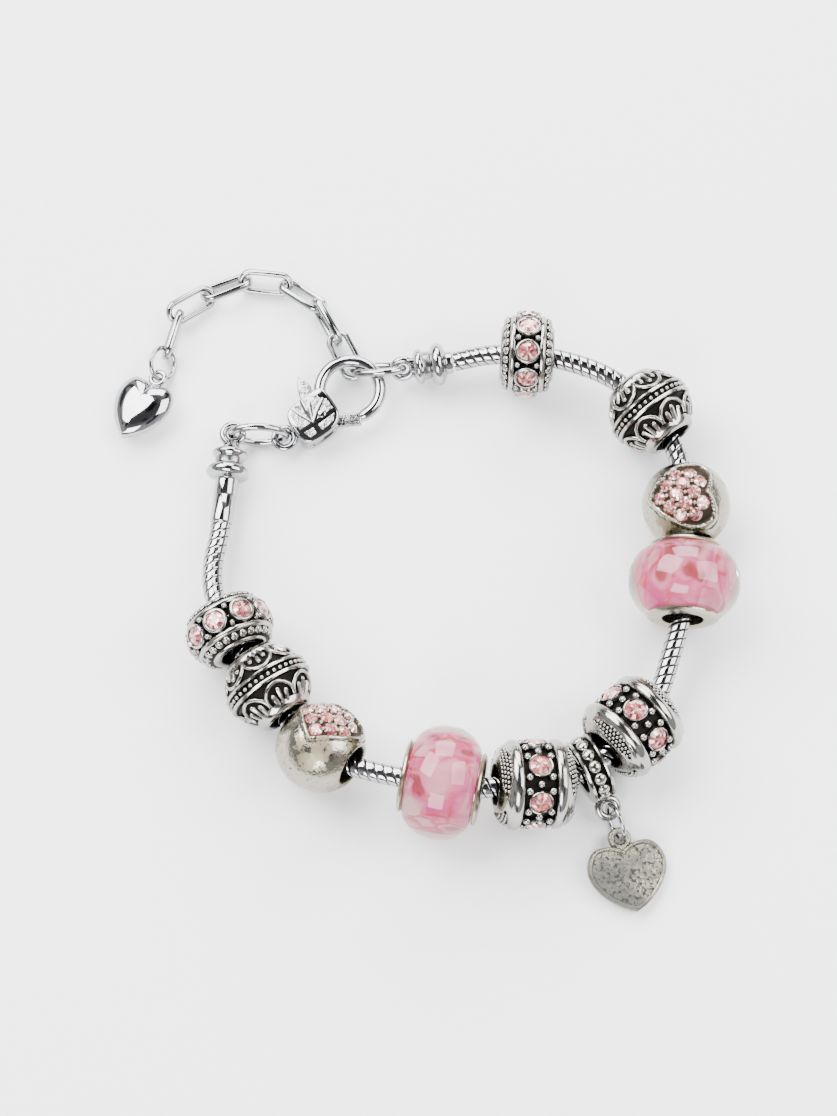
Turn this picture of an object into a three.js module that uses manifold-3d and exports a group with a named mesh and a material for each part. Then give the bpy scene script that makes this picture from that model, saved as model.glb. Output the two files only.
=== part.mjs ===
// A charm bracelet lying fastened on a table: a snake chain threaded through eleven beads, turned end
// caps, a lobster clasp with a sprung lever, an extender chain and two heart charms.
// Millimetres, +Z up, the table is z = 0. Every piece that is turned or strung has its axis along its own
// X, with its Z up, and is then placed by a heading, a pitch and a roll in degrees.

import * as THREE from 'three';
import { mergeVertices } from 'three/addons/utils/BufferGeometryUtils.js';
import Module from 'manifold-3d';

const wasm = await Module();
wasm.setup();

// ---- Driving dimensions -------------------------------------------------------------------------

const CHAIN_RADIUS = 1.275;
const CHAIN_STEPS = 38;
const CHAIN_SIDES = 8;
const BORE = 2.5;
const TURNED_SIDES = 16;

const SPACER = { radius: 4.95, channel: 4.3, stones: 9 };
const FILIGREE = { radius: 5.6, ball: 5.2, scallops: 7 };
const PAVE_BALL = { radius: 5.53, recess: 5.2, halfLength: 4.75 };
const GLASS = { radius: 7.0, bore: 3.4, halfLength: 4.3 };
const CORE = { radius: 3.25, bore: 2.6, cap: 4.5, halfLength: 5.0 };
const BARREL = { radius: 5.5, channel: 4.75, halfLength: 4.8, stones: 7 };
const HOLDER = { radius: 4.2, channel: 3.5, halfLength: 1.5, granules: 14 };
const STONE = { radius: 1.22, seat: 0.62, crown: 0.42 };
const PAVE_STONE = { radius: 0.8, seat: 0.4, crown: 0.3 };

const OVAL_RING = { length: 8.0, width: 5.6, wire: 0.5 };
const EXTENDER_LINK = { length: 7.3, width: 3.4, wire: 0.4, tall: 0.52 };
const HEART_RING = { radius: 2.1, wire: 0.3 };
const CHARM_RING = { radius: 2.25, wire: 0.3 };
const EYE = { radius: 1.25, wire: 0.5 };

const CLASP = {
  eye: 1.3,
  hookCentre: [10.5, 0.5],
  hookRadius: 3.9,
  hookWire: 0.8,
  hookStart: -112,
  hookEnd: 164,
  halfThickness: 1.7,
  slot: 0.72,
  pivot: [5.6, -0.5],
  pin: 0.5,
};
const LEVER = { halfThickness: 0.55, hole: 0.66, reach: 5.1, clearance: 0.15 };

const PUFFED_HEART = { length: 7.5, width: 7.7, halfThickness: 1.75, eye: 0.9, eyeWire: 0.35 };
const FLAT_HEART = { length: 7.5, width: 9.8, halfThickness: 0.7, eye: 1.05, eyeWire: 0.42 };

// The line of the chain from the left cap's sleeve, round the front, to the right cap.
const CHAIN_ROUTE = [
  { x: -25.09, y: 3.5, z: 2.93 },
  { x: -25.35, y: 1.6, z: 3.05 },
  { x: -25.9, y: -1.8, z: 3.5 },
  { x: -25.8, y: -5.4, z: 4.2 },
  { x: -24.8, y: -8.7, z: 4.8 },
  { x: -22.7, y: -13.0, z: 5.1 },
  { x: -20.5, y: -15.9, z: 5.1 },
  { x: -17.1, y: -21.1, z: 5.0 },
  { x: -14.6, y: -24.4, z: 5.1 },
  { x: -9.4, y: -28.0, z: 5.3 },
  { x: -5.0, y: -29.5, z: 5.8 },
  { x: -0.3, y: -30.5, z: 6.2 },
  { x: 6.0, y: -31.5, z: 6.1 },
  { x: 10.7, y: -31.3, z: 5.95 },
  { x: 17.1, y: -30.6, z: 5.1 },
  { x: 21.1, y: -28.7, z: 4.95 },
  { x: 25.2, y: -24.9, z: 5.25 },
  { x: 29.0, y: -20.8, z: 5.35 },
  { x: 31.2, y: -14.9, z: 5.8 },
  { x: 32.9, y: -8.5, z: 6.2 },
  { x: 33.6, y: -2.2, z: 6.1 },
  { x: 34.0, y: 2.2, z: 5.6 },
  { x: 33.5, y: 8.2, z: 5.0 },
  { x: 32.9, y: 12.0, z: 5.0 },
  { x: 31.3, y: 15.6, z: 5.0 },
  { x: 27.8, y: 20.2, z: 5.0 },
  { x: 23.4, y: 23.3, z: 5.1 },
  { x: 16.6, y: 25.5, z: 5.1 },
  { x: 11.6, y: 26.0, z: 4.85 },
  { x: 8.2, y: 26.0, z: 4.2 },
  { x: 4.65, y: 25.47, z: 3.54 },
];

// One row for each bead: where it sits on the chain, which way its bore points and how it is rolled.
const BEADS = [
  { name: 'rhinestone_spacer_left', make: rhinestoneSpacer, x: -23.5, y: -11.3, heading: -64, pitch: 5, roll: 16 },
  { name: 'filigree_ball_left', make: filigreeBall, x: -18.6, y: -18.45, heading: -57, pitch: 0, roll: -3 },
  { name: 'pave_heart_ball_left', make: paveHeartBall, x: -12.0, y: -26.25, heading: 147, pitch: -10, roll: 41 },
  { name: 'glass_bead_left', make: glassBead, x: 2.85, y: -31.0, heading: -11, pitch: 0, roll: 0 },
  { name: 'crystal_barrel_left', make: crystalBarrel, x: 14.05, y: -30.95, heading: 3, pitch: -9, roll: -12 },
  { name: 'charm_holder', make: charmHolder, x: 21.1, y: -28.65, heading: 27, pitch: 0, roll: 115 },
  { name: 'crystal_barrel_right', make: crystalBarrel, x: 26.4, y: -23.6, heading: 42, pitch: -5, roll: -6 },
  { name: 'glass_bead_right', make: glassBead, x: 33.13, y: -5.35, heading: 86, pitch: 0, roll: 0 },
  { name: 'pave_heart_ball_right', make: paveHeartBall, x: 33.77, y: 5.2, heading: 96, pitch: 0, roll: -10 },
  { name: 'filigree_ball_right', make: filigreeBall, x: 29.6, y: 17.9, heading: 126, pitch: 0, roll: 14 },
  { name: 'rhinestone_spacer_right', make: rhinestoneSpacer, x: 13.9, y: 25.65, heading: 177, pitch: 0, roll: -18 },
];

// One row for each ring or link, placed by its middle.
const LINKS = [
  { name: 'clasp_link', make: ovalRing, x: -20.48, y: 15.67, z: 2.9, heading: 0, pitch: -10.5, roll: 84.5 },
  { name: 'connector_link', make: ovalRing, x: -5.38, y: 24.76, z: 2.61, heading: -6, pitch: 19, roll: -56.5 },
  { name: 'extender_link_1', make: extenderLink, x: -31.97, y: 29.97, z: 1.9, heading: 75, pitch: -1, roll: 105 },
  { name: 'extender_link_2', make: extenderLink, x: -29.69, y: 34.08, z: 1.95, heading: 34, pitch: -7, roll: 33 },
  { name: 'extender_link_3', make: extenderLink, x: -25.15, y: 36.68, z: 1.5, heading: 23, pitch: -1, roll: -38.5 },
  { name: 'extender_link_4', make: extenderLink, x: -20.0, y: 37.34, z: 1.7, heading: -6.5, pitch: 0, roll: 41.5 },
  { name: 'extender_link_5', make: extenderLink, x: -15.14, y: 35.54, z: 1.58, heading: -35.5, pitch: 4, roll: -36 },
  { name: 'extender_link_6', make: extenderLink, x: -11.92, y: 31.61, z: 1.97, heading: -61, pitch: -3.8, roll: 82 },
  { name: 'extender_link_7', make: extenderLink, x: -9.45, y: 27.09, z: 1.62, heading: -63, pitch: -5.6, roll: 16.5 },
  { name: 'heart_ring', make: heartRing, x: -33.15, y: 25.82, z: 1.94, heading: 75.1, pitch: 3.4, roll: 52.1 },
  { name: 'charm_ring', make: charmRing, x: 24.25, y: -34.96, z: 2.5, heading: -66.8, pitch: 8.1, roll: 80.6 },
];

// ---- Finishes -----------------------------------------------------------------------------------

const bright = finish(0xd9d9dc, 0.12, 1.0);
const antique = finish(0xa9a7a2, 0.32, 1.0);
const crystal = finish(0xe6c3b8, 0.05, 0.1);
const glass = finish(0xd98fa4, 0.08, 0.0);
const pewter = finish(0x9b9788, 0.5, 0.9);

function finish(color, roughness, metalness) {
  return new THREE.MeshStandardMaterial({ color, roughness, metalness, flatShading: true });
}

// ---- Solids -------------------------------------------------------------------------------------

// A three.js geometry as a manifold-3d solid, with its faces turned outwards.
function solid(geometry) {
  const bare = geometry.clone();
  bare.deleteAttribute('normal');
  bare.deleteAttribute('uv');
  const merged = mergeVertices(bare, 1e-4);
  const places = merged.attributes.position.array;
  const corners = merged.index.array;
  const kept = [];
  let volume = 0;
  for (let i = 0; i < corners.length; i += 3) {
    const [a, b, c] = corners.slice(i, i + 3);
    if (a === b || b === c || c === a) continue;
    kept.push(a, b, c);
    const at = (k) => new THREE.Vector3().fromArray(places, 3 * k);
    volume += at(a).dot(at(b).cross(at(c)));
  }
  if (volume < 0) kept.reverse();
  return new wasm.Manifold(new wasm.Mesh({
    numProp: 3,
    vertProperties: new Float32Array(places),
    triVerts: new Uint32Array(kept),
  }));
}

// The mesh of a solid, ready to be placed in the scene.
function mesh(name, body, material) {
  const built = body.simplify(0.01).getMesh();
  const geometry = new THREE.BufferGeometry();
  geometry.setAttribute('position', new THREE.BufferAttribute(built.vertProperties, 3));
  geometry.setIndex(new THREE.BufferAttribute(built.triVerts, 1));
  geometry.computeVertexNormals();
  const piece = new THREE.Mesh(geometry, material);
  piece.name = name;
  return piece;
}

const degrees = THREE.MathUtils.degToRad;

function rotation({ heading = 0, pitch = 0, roll = 0 }) {
  return new THREE.Euler(degrees(roll), -degrees(pitch), degrees(heading), 'ZYX');
}

function place(object, row) {
  object.position.set(row.x, row.y, row.z ?? 0);
  object.rotation.copy(rotation(row));
  return object;
}

function moved(body, x, y, z, turn = {}) {
  const matrix = new THREE.Matrix4().makeRotationFromEuler(rotation(turn)).setPosition(x, y, z);
  return body.transform(matrix.elements);
}

// A skin turned round X from rows of [place along X, radius]; one flat side faces down.
function lathe(rows, sides) {
  const profile = rows.map(([along, radius]) => new THREE.Vector2(radius, along));
  const open = rows[0][1] > 0;
  if (open) profile.push(profile[0].clone());
  return new THREE.LatheGeometry(profile, sides, Math.PI / sides, 2 * Math.PI).rotateZ(-Math.PI / 2);
}

function turned(rows, sides = TURNED_SIDES) {
  return solid(lathe(rows, sides));
}

// The outline of a turned piece that is alike at both ends, from rows given middle to end.
function mirrored(half) {
  const other = half.map(([along, radius]) => [-along, radius]).reverse();
  return [...other, ...half];
}

function ball(radius, first, last, steps) {
  const rows = [];
  for (let i = 0; i <= steps; i += 1) {
    const along = first + ((last - first) * i) / steps;
    rows.push([along, Math.sqrt(radius * radius - along * along)]);
  }
  return rows;
}

function torus(radius, wire, wireSides = 5, sides = 12) {
  return new THREE.TorusGeometry(radius, wire, wireSides, sides);
}

// A rod of a few sides bent along a list of points.
function rod(points, radius, sides, steps, closed = false) {
  const path = new THREE.CatmullRomCurve3(points, closed, 'centripetal');
  const corners = [];
  for (let i = 0; i < sides; i += 1) {
    const angle = (2 * Math.PI * i) / sides;
    corners.push(new THREE.Vector2(radius * Math.cos(angle), radius * Math.sin(angle)));
  }
  return new THREE.ExtrudeGeometry(new THREE.Shape(corners), { extrudePath: path, steps, bevelEnabled: false });
}

// A flat plate of the given outline, centred on z = 0.
function plate(shape, halfThickness, curveSegments = 4) {
  const options = { depth: 2 * halfThickness, bevelEnabled: false, curveSegments };
  return new THREE.ExtrudeGeometry(shape, options).translate(0, 0, -halfThickness);
}

function outline(points) {
  return new THREE.Shape(points.map(([x, y]) => new THREE.Vector2(x, y)));
}

// A heart along X: its notch near x = 0, its lobes reaching back by a share of its length, and its point,
// with full sides, at x = length.
function heartShape(length, width, reach = 0.13) {
  const half = width / 2;
  const lobe = -reach * length;
  const shape = new THREE.Shape();
  shape.moveTo(0, 0);
  shape.bezierCurveTo(lobe, 0.1 * half, lobe, 0.5 * half, lobe, 0.55 * half);
  shape.bezierCurveTo(lobe, 0.85 * half, 0.08 * length, half, 0.25 * length, half);
  shape.bezierCurveTo(0.55 * length, half, 0.88 * length, 0.47 * half, length, 0);
  shape.bezierCurveTo(0.88 * length, -0.47 * half, 0.55 * length, -half, 0.25 * length, -half);
  shape.bezierCurveTo(0.08 * length, -half, lobe, -0.85 * half, lobe, -0.55 * half);
  shape.bezierCurveTo(lobe, -0.5 * half, lobe, -0.1 * half, 0, 0);
  return shape;
}

// A cut stone standing on z = 0: eight sides down to its seat, eight crown facets and a flat table.
function cutStone({ radius, seat, crown }) {
  const profile = [[0, 0], [0.8 * radius, 0], [radius, seat], [0.6 * radius, seat + crown], [0, seat + crown]];
  const points = profile.map(([r, z]) => new THREE.Vector2(r, z));
  return solid(new THREE.LatheGeometry(points, 8).rotateX(Math.PI / 2));
}

// A body made upright at the origin, stood on the surface of a strung piece.
function seated(body, along, angle, height) {
  const radial = [-height * Math.sin(degrees(angle)), height * Math.cos(degrees(angle))];
  return moved(body, along, radial[0], radial[1], { roll: angle });
}

// ---- Beads --------------------------------------------------------------------------------------

// Two rims with a channel between them, cups for the stones, and sloping ends.
function rhinestoneSpacer(name) {
  const rim = SPACER.radius;
  const half = [[1.65, SPACER.channel], [1.7, rim], [2.3, rim], [3.4, 3.6], [3.4, BORE]];
  const cup = solid(new THREE.CylinderGeometry(1.55, 1.55, 1.4, 8).rotateX(Math.PI / 2));
  const pocket = solid(new THREE.CylinderGeometry(1.33, 1.33, 1.0, 8).rotateX(Math.PI / 2));
  let body = turned(mirrored(half));
  const stones = [];
  for (let i = 0; i < SPACER.stones; i += 1) {
    const angle = (360 * i) / SPACER.stones;
    body = body.add(seated(cup, 0, angle, 4.7)).subtract(seated(pocket, 0, angle, 5.05));
    const stone = mesh(`${name}_stone_${i + 1}`, cutStone(STONE), crystal);
    const holder = new THREE.Group();
    holder.rotation.x = degrees(angle);
    stone.position.z = 4.6;
    stones.push(holder.add(stone));
  }
  return [mesh(name, body, antique), ...stones];
}

// A ball with a railed band round its middle and a ring of open arches on either side.
function filigreeBall(name) {
  const half = [
    [0.4, FILIGREE.ball], [0.5, FILIGREE.radius], [0.95, FILIGREE.radius - 0.1], [1.0, 4.7],
    [3.3, 3.3], [4.6, 3.1], [4.6, BORE],
  ];
  let body = turned(mirrored(half), 12);
  const onBall = (latitude, longitude) => {
    const r = FILIGREE.ball;
    const [lat, lon] = [degrees(latitude), degrees(longitude)];
    return new THREE.Vector3(r * Math.sin(lat), r * Math.cos(lat) * Math.sin(lon), r * Math.cos(lat) * Math.cos(lon));
  };
  const step = 360 / FILIGREE.scallops;
  for (let i = 0; i < 2 * FILIGREE.scallops; i += 1) {
    const side = i % 2 ? -1 : 1;
    const middle = step * Math.floor(i / 2);
    const arch = [[50, -0.4], [28, -0.4], [12, 0], [28, 0.4], [50, 0.4]]
      .map(([latitude, part]) => onBall(side * latitude, middle + part * step));
    body = body.add(solid(rod(arch, 0.33, 3, 4)));
  }
  return [mesh(name, body, antique)];
}

// A plain ball with a sunk heart filled with small cut stones, all one piece.
function paveHeartBall(name) {
  const rows = ball(PAVE_BALL.radius, -PAVE_BALL.halfLength, PAVE_BALL.halfLength, 6);
  let body = turned([[-PAVE_BALL.halfLength, BORE], ...rows, [PAVE_BALL.halfLength, BORE]]);
  const heart = solid(plate(heartShape(7.3, 8.5, 0.08), 1.6, 2).rotateZ(Math.PI / 2));
  const inner = solid(new THREE.SphereGeometry(PAVE_BALL.recess + 0.1, 10, 6));
  body = body.subtract(moved(heart, 0, -3.05, 5.0).subtract(inner));
  const columns = [
    { along: 3.45, across: [0] },
    { along: 2.15, across: [-1.6, 1.6] },
    { along: 0.85, across: [-3.1, 0, 3.1] },
    { along: -0.2, across: [-1.5, 1.5] },
    { along: -1.45, across: [-3.1, 0, 3.1] },
    { along: -2.6, across: [-1.5, 1.5] },
  ];
  for (const { along, across } of columns) {
    for (const offset of across) {
      const lean = offset / PAVE_BALL.radius;
      const stone = moved(cutStone(PAVE_STONE), 0, 0, PAVE_BALL.recess - PAVE_STONE.seat);
      const tipped = moved(stone, 0, 0, 0, { pitch: THREE.MathUtils.radToDeg(-lean) });
      body = body.add(moved(tipped, 0, 0, 0, { roll: THREE.MathUtils.radToDeg(-along / PAVE_BALL.radius) }));
    }
  }
  return [mesh(name, body, pewter)];
}

// A thick glass ring on a metal tube with a flared cap at each end.
function glassBead(name) {
  const ring = [[1.0, GLASS.radius], [2.9, 6.5], [4.1, 5.1], [GLASS.halfLength, 4.4], [GLASS.halfLength, GLASS.bore]];
  const cap = [[4.4, CORE.radius], [4.4, 4.3], [4.7, CORE.cap], [CORE.halfLength, 3.7], [CORE.halfLength, CORE.bore]];
  return [
    mesh(name, turned(mirrored(ring)), glass),
    mesh(`${name}_core`, turned(mirrored(cap)), antique),
  ];
}

// A barrel with a broad polished band on either side of a channel that holds seven large stones.
function crystalBarrel(name) {
  const half = [
    [2.1, BARREL.channel], [2.25, BARREL.radius], [3.3, 5.35], [3.45, 5.1], [4.4, 4.2],
    [BARREL.halfLength, 3.1], [BARREL.halfLength, BORE],
  ];
  let body = turned(mirrored(half), 18);
  for (let i = 0; i < BARREL.stones; i += 1) {
    const stone = cutStone({ radius: 1.4, seat: 0.75, crown: 0.4 });
    body = body.add(seated(stone, 0, (360 * i) / BARREL.stones, 4.4));
  }
  return [mesh(name, body, antique)];
}

// A short ring with two rims and a row of granules, carrying a loop for the charm.
function charmHolder(name) {
  const rim = HOLDER.radius;
  const half = [
    [1.0, HOLDER.channel], [1.1, rim], [HOLDER.halfLength, rim - 0.15], [HOLDER.halfLength, BORE],
  ];
  let body = turned(mirrored(half));
  const granule = solid(new THREE.OctahedronGeometry(0.78, 0));
  for (let i = 0; i < HOLDER.granules; i += 1) {
    body = body.add(seated(granule, 0, (360 * i) / HOLDER.granules, HOLDER.channel + 0.25));
  }
  const loop = moved(solid(torus(1.2, EYE.wire).rotateX(Math.PI / 2)), 0, 0, 5.45);
  const foot = solid(new THREE.BoxGeometry(1.6, 1.0, 1.0).translate(0, 0, 3.85));
  return [mesh(name, body.add(loop).add(foot), antique)];
}

// ---- Chain, caps, rings and links ---------------------------------------------------------------

function snakeChain() {
  const points = CHAIN_ROUTE.map(({ x, y, z }) => new THREE.Vector3(x, y, z));
  return mesh('snake_chain', solid(rod(points, CHAIN_RADIUS, CHAIN_SIDES, CHAIN_STEPS)), bright);
}

// A turned cap whose eye is at the origin. Its large flange is at the given reach from the eye and its
// sleeve ends where the chain begins.
function endCap(name, reach, sleeve) {
  const flanges = [
    [-3.1, 1.6], [-2.65, 2.3], [-2.2, 2.3], [-1.8, 1.8], [-1.0, 1.8], [-0.4, 2.7], [0.25, 2.75],
    [0.8, 2.2], [1.0, 1.45],
  ].map(([along, radius]) => [along + reach, radius]);
  const rows = [[1.0, 0], [1.0, 0.8], ...flanges, [sleeve, 1.4], [sleeve, 0]];
  return mesh(name, turned(rows, 12).add(solid(torus(EYE.radius, EYE.wire))), bright);
}

// An oval ring of round wire: a round ring whose middle line is drawn out to an ellipse.
function ovalRing(name) {
  const { length, width, wire } = OVAL_RING;
  const [long, short] = [length / 2 - wire, width / 2 - wire];
  const ring = torus(short, wire);
  const places = ring.attributes.position;
  for (let i = 0; i < places.count; i += 1) {
    const [x, y] = [places.getX(i), places.getY(i)];
    const [angle, out] = [Math.atan2(y, x), Math.hypot(x, y) - short];
    const away = new THREE.Vector2(short * Math.cos(angle), long * Math.sin(angle)).setLength(out);
    places.setXY(i, long * Math.cos(angle) + away.x, short * Math.sin(angle) + away.y);
  }
  return mesh(name, solid(ring), bright);
}

// An oblong link of flattened wire: a round ring whose two halves are drawn apart.
function extenderLink(name) {
  const { length, width, wire, tall } = EXTENDER_LINK;
  const ring = torus(width / 2 - wire, wire, 6, 10).scale(1, 1, tall / wire);
  const places = ring.attributes.position;
  for (let i = 0; i < places.count; i += 1) {
    const x = places.getX(i);
    places.setX(i, x + (Math.sign(x) * (length - width)) / 2);
  }
  return mesh(name, solid(ring), bright);
}

function heartRing(name) {
  return mesh(name, solid(torus(HEART_RING.radius, HEART_RING.wire)), bright);
}

function charmRing(name) {
  return mesh(name, solid(torus(CHARM_RING.radius, CHARM_RING.wire)), bright);
}

// ---- Clasp --------------------------------------------------------------------------------------

function polar([x, y], radius, angle) {
  return [x + radius * Math.cos(degrees(angle)), y + radius * Math.sin(degrees(angle))];
}

// Eye, slotted body with leaf relief and the fixed hook; the origin is the eye's middle.
function claspBody() {
  const rounded = new THREE.Shape();
  rounded.moveTo(1.4, -1.2);
  rounded.quadraticCurveTo(1.6, -2.9, 3.0, -3.0);
  rounded.lineTo(5.2, -3.0);
  rounded.quadraticCurveTo(7.6, -2.6, 7.7, -0.8);
  rounded.lineTo(7.7, 1.6);
  rounded.quadraticCurveTo(7.6, 2.8, 6.6, 2.75);
  rounded.lineTo(3.0, 2.6);
  rounded.quadraticCurveTo(1.7, 2.4, 1.4, 0.9);
  const options = {
    depth: 2 * (CLASP.halfThickness - 0.25), bevelThickness: 0.25, bevelSize: 0.25, bevelOffset: -0.25,
    bevelSegments: 1, curveSegments: 2,
  };
  const block = new THREE.ExtrudeGeometry(rounded, options).translate(0, 0, 0.25 - CLASP.halfThickness);
  const hookPoints = [];
  for (let i = 0; i <= 12; i += 1) {
    const angle = CLASP.hookStart + ((CLASP.hookEnd - CLASP.hookStart) * i) / 12;
    hookPoints.push(new THREE.Vector3(...polar(CLASP.hookCentre, CLASP.hookRadius, angle), 0));
  }
  const [px, py] = CLASP.pivot;
  const slot = outline([
    [2.3, 3.8], [6.75, 3.8], [6.75, 1.2], [8.4, 0.6], [8.4, -4.0], [4.3, -4.0], [3.6, -0.5],
  ]);
  let body = solid(block);
  body = body.add(solid(rod(hookPoints, CLASP.hookWire, 8, 18)));
  body = body.subtract(solid(plate(slot, CLASP.slot)));
  const sweep = [-70, -60, -50, -40, -30, -20, -10];
  const swept = sweep.map((angle) => polar(CLASP.pivot, LEVER.reach + LEVER.clearance, angle));
  body = body.subtract(solid(plate(outline([[8.2, -0.5], ...swept]), 1.5)));
  body = body.add(solid(new THREE.CylinderGeometry(CLASP.pin, CLASP.pin, 2.4, 8).rotateX(Math.PI / 2)
    .translate(px, py, 0)));
  body = body.add(solid(torus(CLASP.eye, EYE.wire)));
  const leaf = outline([[0, 0.2], [1.5, 0.5], [2.9, 0], [1.5, -0.5], [0, -0.2]]);
  const bar = outline([[0, 0.3], [1.5, 0.3], [1.5, -0.3], [0, -0.3]]);
  for (const side of [-1, 1]) {
    const z = side * CLASP.halfThickness;
    for (const heading of [35, 75, 115]) {
      body = body.add(moved(solid(plate(leaf, 0.15)), 4.7, -1.0, z, { heading }));
    }
    body = body.add(moved(solid(plate(bar, 0.15)), 2.8, -1.7, z, { heading: 4 }));
  }
  return mesh('clasp_body', body, bright);
}

// The thumb piece and the gate in one plate, hung on the pivot pin, which is its origin. The gate's end
// and the hook's tip are arcs round the pin, so that the gate swings into the hook without touching it.
function claspLever() {
  const [px, py] = CLASP.pivot;
  const points = [[6.0, 5.7], [5.1, 4.6], [4.55, 3.2], [4.45, 1.0], [4.5, -1.0], [5.1, -2.0], [6.4, -2.8]];
  points.push(...[-47, -41, -35, -29].map((angle) => polar(CLASP.pivot, LEVER.reach, angle)));
  points.push([7.5, -1.4], [7.1, -0.2], [6.5, 0.5], [6.4, 2.4], [6.6, 3.8]);
  const hole = new THREE.CylinderGeometry(LEVER.hole, LEVER.hole, 3, 10).rotateX(Math.PI / 2).translate(px, py, 0);
  const body = solid(plate(outline(points), LEVER.halfThickness)).subtract(solid(hole));
  const lever = mesh('clasp_lever', moved(body, -px, -py, 0), bright);
  lever.position.set(px, py, 0);
  return lever;
}

// ---- Heart charms -------------------------------------------------------------------------------

// A cushion-shaped heart with an eye; the origin is the eye's middle and the point is far along X.
function puffedHeart() {
  const { length, width, halfThickness, eye, eyeWire } = PUFFED_HEART;
  const rim = heartShape(length, width).getPoints(3).slice(0, -1);
  const levels = [[0.5, -0.93], [0.88, -0.55], [1, 0], [0.88, 0.55], [0.5, 0.93]];
  const middle = 0.32 * length;
  const places = [];
  for (const [share, height] of levels) {
    for (const point of rim) {
      places.push(middle + share * (point.x - middle), share * point.y, height * halfThickness);
    }
  }
  places.push(middle, 0, -halfThickness, middle, 0, halfThickness);
  const count = rim.length;
  const faces = [];
  for (let i = 0; i < count; i += 1) {
    const next = (i + 1) % count;
    for (let level = 0; level + 1 < levels.length; level += 1) {
      const low = level * count;
      faces.push(low + i, low + next, low + count + next, low + i, low + count + next, low + count + i);
    }
    const top = (levels.length - 1) * count;
    faces.push(levels.length * count, next, i, levels.length * count + 1, top + i, top + next);
  }
  const skin = new THREE.BufferGeometry();
  skin.setAttribute('position', new THREE.BufferAttribute(new Float32Array(places), 3));
  skin.setIndex(faces);
  const neck = solid(new THREE.BoxGeometry(1.7, 0.9, 0.7).translate(1.75, 0, 0));
  const body = solid(skin.translate(1.8, 0, 0)).add(neck).add(solid(torus(eye, eyeWire)));
  return mesh('puffed_heart', body, bright);
}

// A flat cast heart with a raised border and a tab; the origin is the middle of the tab's hole.
function flatHeart() {
  const { length, width, halfThickness, eye, eyeWire } = FLAT_HEART;
  const whole = solid(plate(heartShape(length, width), halfThickness));
  const sunk = solid(plate(heartShape(length - 1.2, width - 1.3), 0.12).translate(0.6, 0, halfThickness));
  const neck = solid(new THREE.BoxGeometry(1.3, 2.2, 0.9).translate(1.6, 0, 0));
  const body = moved(whole.subtract(sunk), 1.7, 0, 0).add(neck).add(solid(torus(eye, eyeWire)));
  return mesh('flat_heart', body, pewter);
}

// ---- The bracelet -------------------------------------------------------------------------------

// Lifts or lowers a group until its lowest point is on the table.
function restOnTable(group) {
  group.updateMatrixWorld(true);
  group.position.z -= new THREE.Box3().setFromObject(group, true).min.z;
}

const bracelet = new THREE.Group();
bracelet.add(snakeChain());

for (const row of BEADS) {
  const bead = place(new THREE.Group().add(...row.make(row.name)), row);
  restOnTable(bead);
  bracelet.add(bead);
}

for (const row of LINKS) bracelet.add(place(row.make(row.name), row));

bracelet.add(
  place(endCap('end_cap_left', 5.3, 12.2), { x: -23.8, y: 15.75, z: 2.9, heading: -96 }),
  place(endCap('end_cap_right', 4.6, 6.5), { x: -2.0, y: 24.76, z: 2.95, heading: 6, pitch: 5, roll: 46 }),
);

const clasp = new THREE.Group().add(claspBody(), claspLever());
bracelet.add(
  place(clasp, { x: -17.2, y: 15.5, z: 2.05, heading: 34.5, pitch: 4.5, roll: 3 }),
  place(puffedHeart(), { x: -33.73, y: 23.84, z: 1.88, heading: 242, pitch: 0.9, roll: 10 }),
  place(flatHeart(), { x: 24.73, y: -36.74, z: 1.22, heading: -76.5, pitch: -2.1, roll: -4.1 }),
);

// The origin is the middle of the whole bracelet's box, on the table.
bracelet.updateMatrixWorld(true);
const box = new THREE.Box3().setFromObject(bracelet, true);
const centre = box.getCenter(new THREE.Vector3());
bracelet.position.set(-centre.x, -centre.y, -box.min.z);

export default bracelet;
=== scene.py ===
# %% [markdown]
# # Charm bracelet
# A snake-chain bracelet lies fastened on a pale table. The solids come from the CAD model, which fixes
# every size and place. This notebook gives each piece its fine shape and its finish: cast beads with
# blackened hollows, cut stones, lampwork glass, a plated chain with its clasp, and two heart charms.
#
# The CAD frame is loaded first, and the boxes of its solids fix where its zero lies and how high each strung
# piece sits.

import random
from math import atan2, cos, degrees, hypot, pi, radians, sin, sqrt

import bmesh
import bpy
from mathutils import Euler, Matrix, Vector


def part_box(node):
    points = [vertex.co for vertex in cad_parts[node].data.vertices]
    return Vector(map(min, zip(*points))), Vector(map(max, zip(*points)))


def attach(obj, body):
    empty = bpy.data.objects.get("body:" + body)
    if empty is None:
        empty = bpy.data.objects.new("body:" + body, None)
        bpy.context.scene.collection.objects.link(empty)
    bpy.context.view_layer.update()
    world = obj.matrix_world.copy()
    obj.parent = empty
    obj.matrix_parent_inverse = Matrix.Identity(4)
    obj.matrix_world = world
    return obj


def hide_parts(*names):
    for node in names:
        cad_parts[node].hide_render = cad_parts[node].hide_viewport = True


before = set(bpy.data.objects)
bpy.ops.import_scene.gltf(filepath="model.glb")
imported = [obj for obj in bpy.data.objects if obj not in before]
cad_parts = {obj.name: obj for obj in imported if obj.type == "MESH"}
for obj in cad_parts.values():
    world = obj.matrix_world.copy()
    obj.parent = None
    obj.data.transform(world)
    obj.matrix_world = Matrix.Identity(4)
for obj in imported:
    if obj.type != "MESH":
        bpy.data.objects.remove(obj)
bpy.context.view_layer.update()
MM = 0.001
random.seed(7)
print("CAD nodes:", len(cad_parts))

# %% [markdown]
# ## Camera, table, room and lamps
# The CAD was drafted round the middle of the loop. The left glass bead, whose place there is known, tells
# how far the frame's zero lies from that middle. The camera looks at the middle from 72 degrees above the
# table, with the clasp on the far side. A long lens keeps the bracelet free of distortion.

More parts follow.
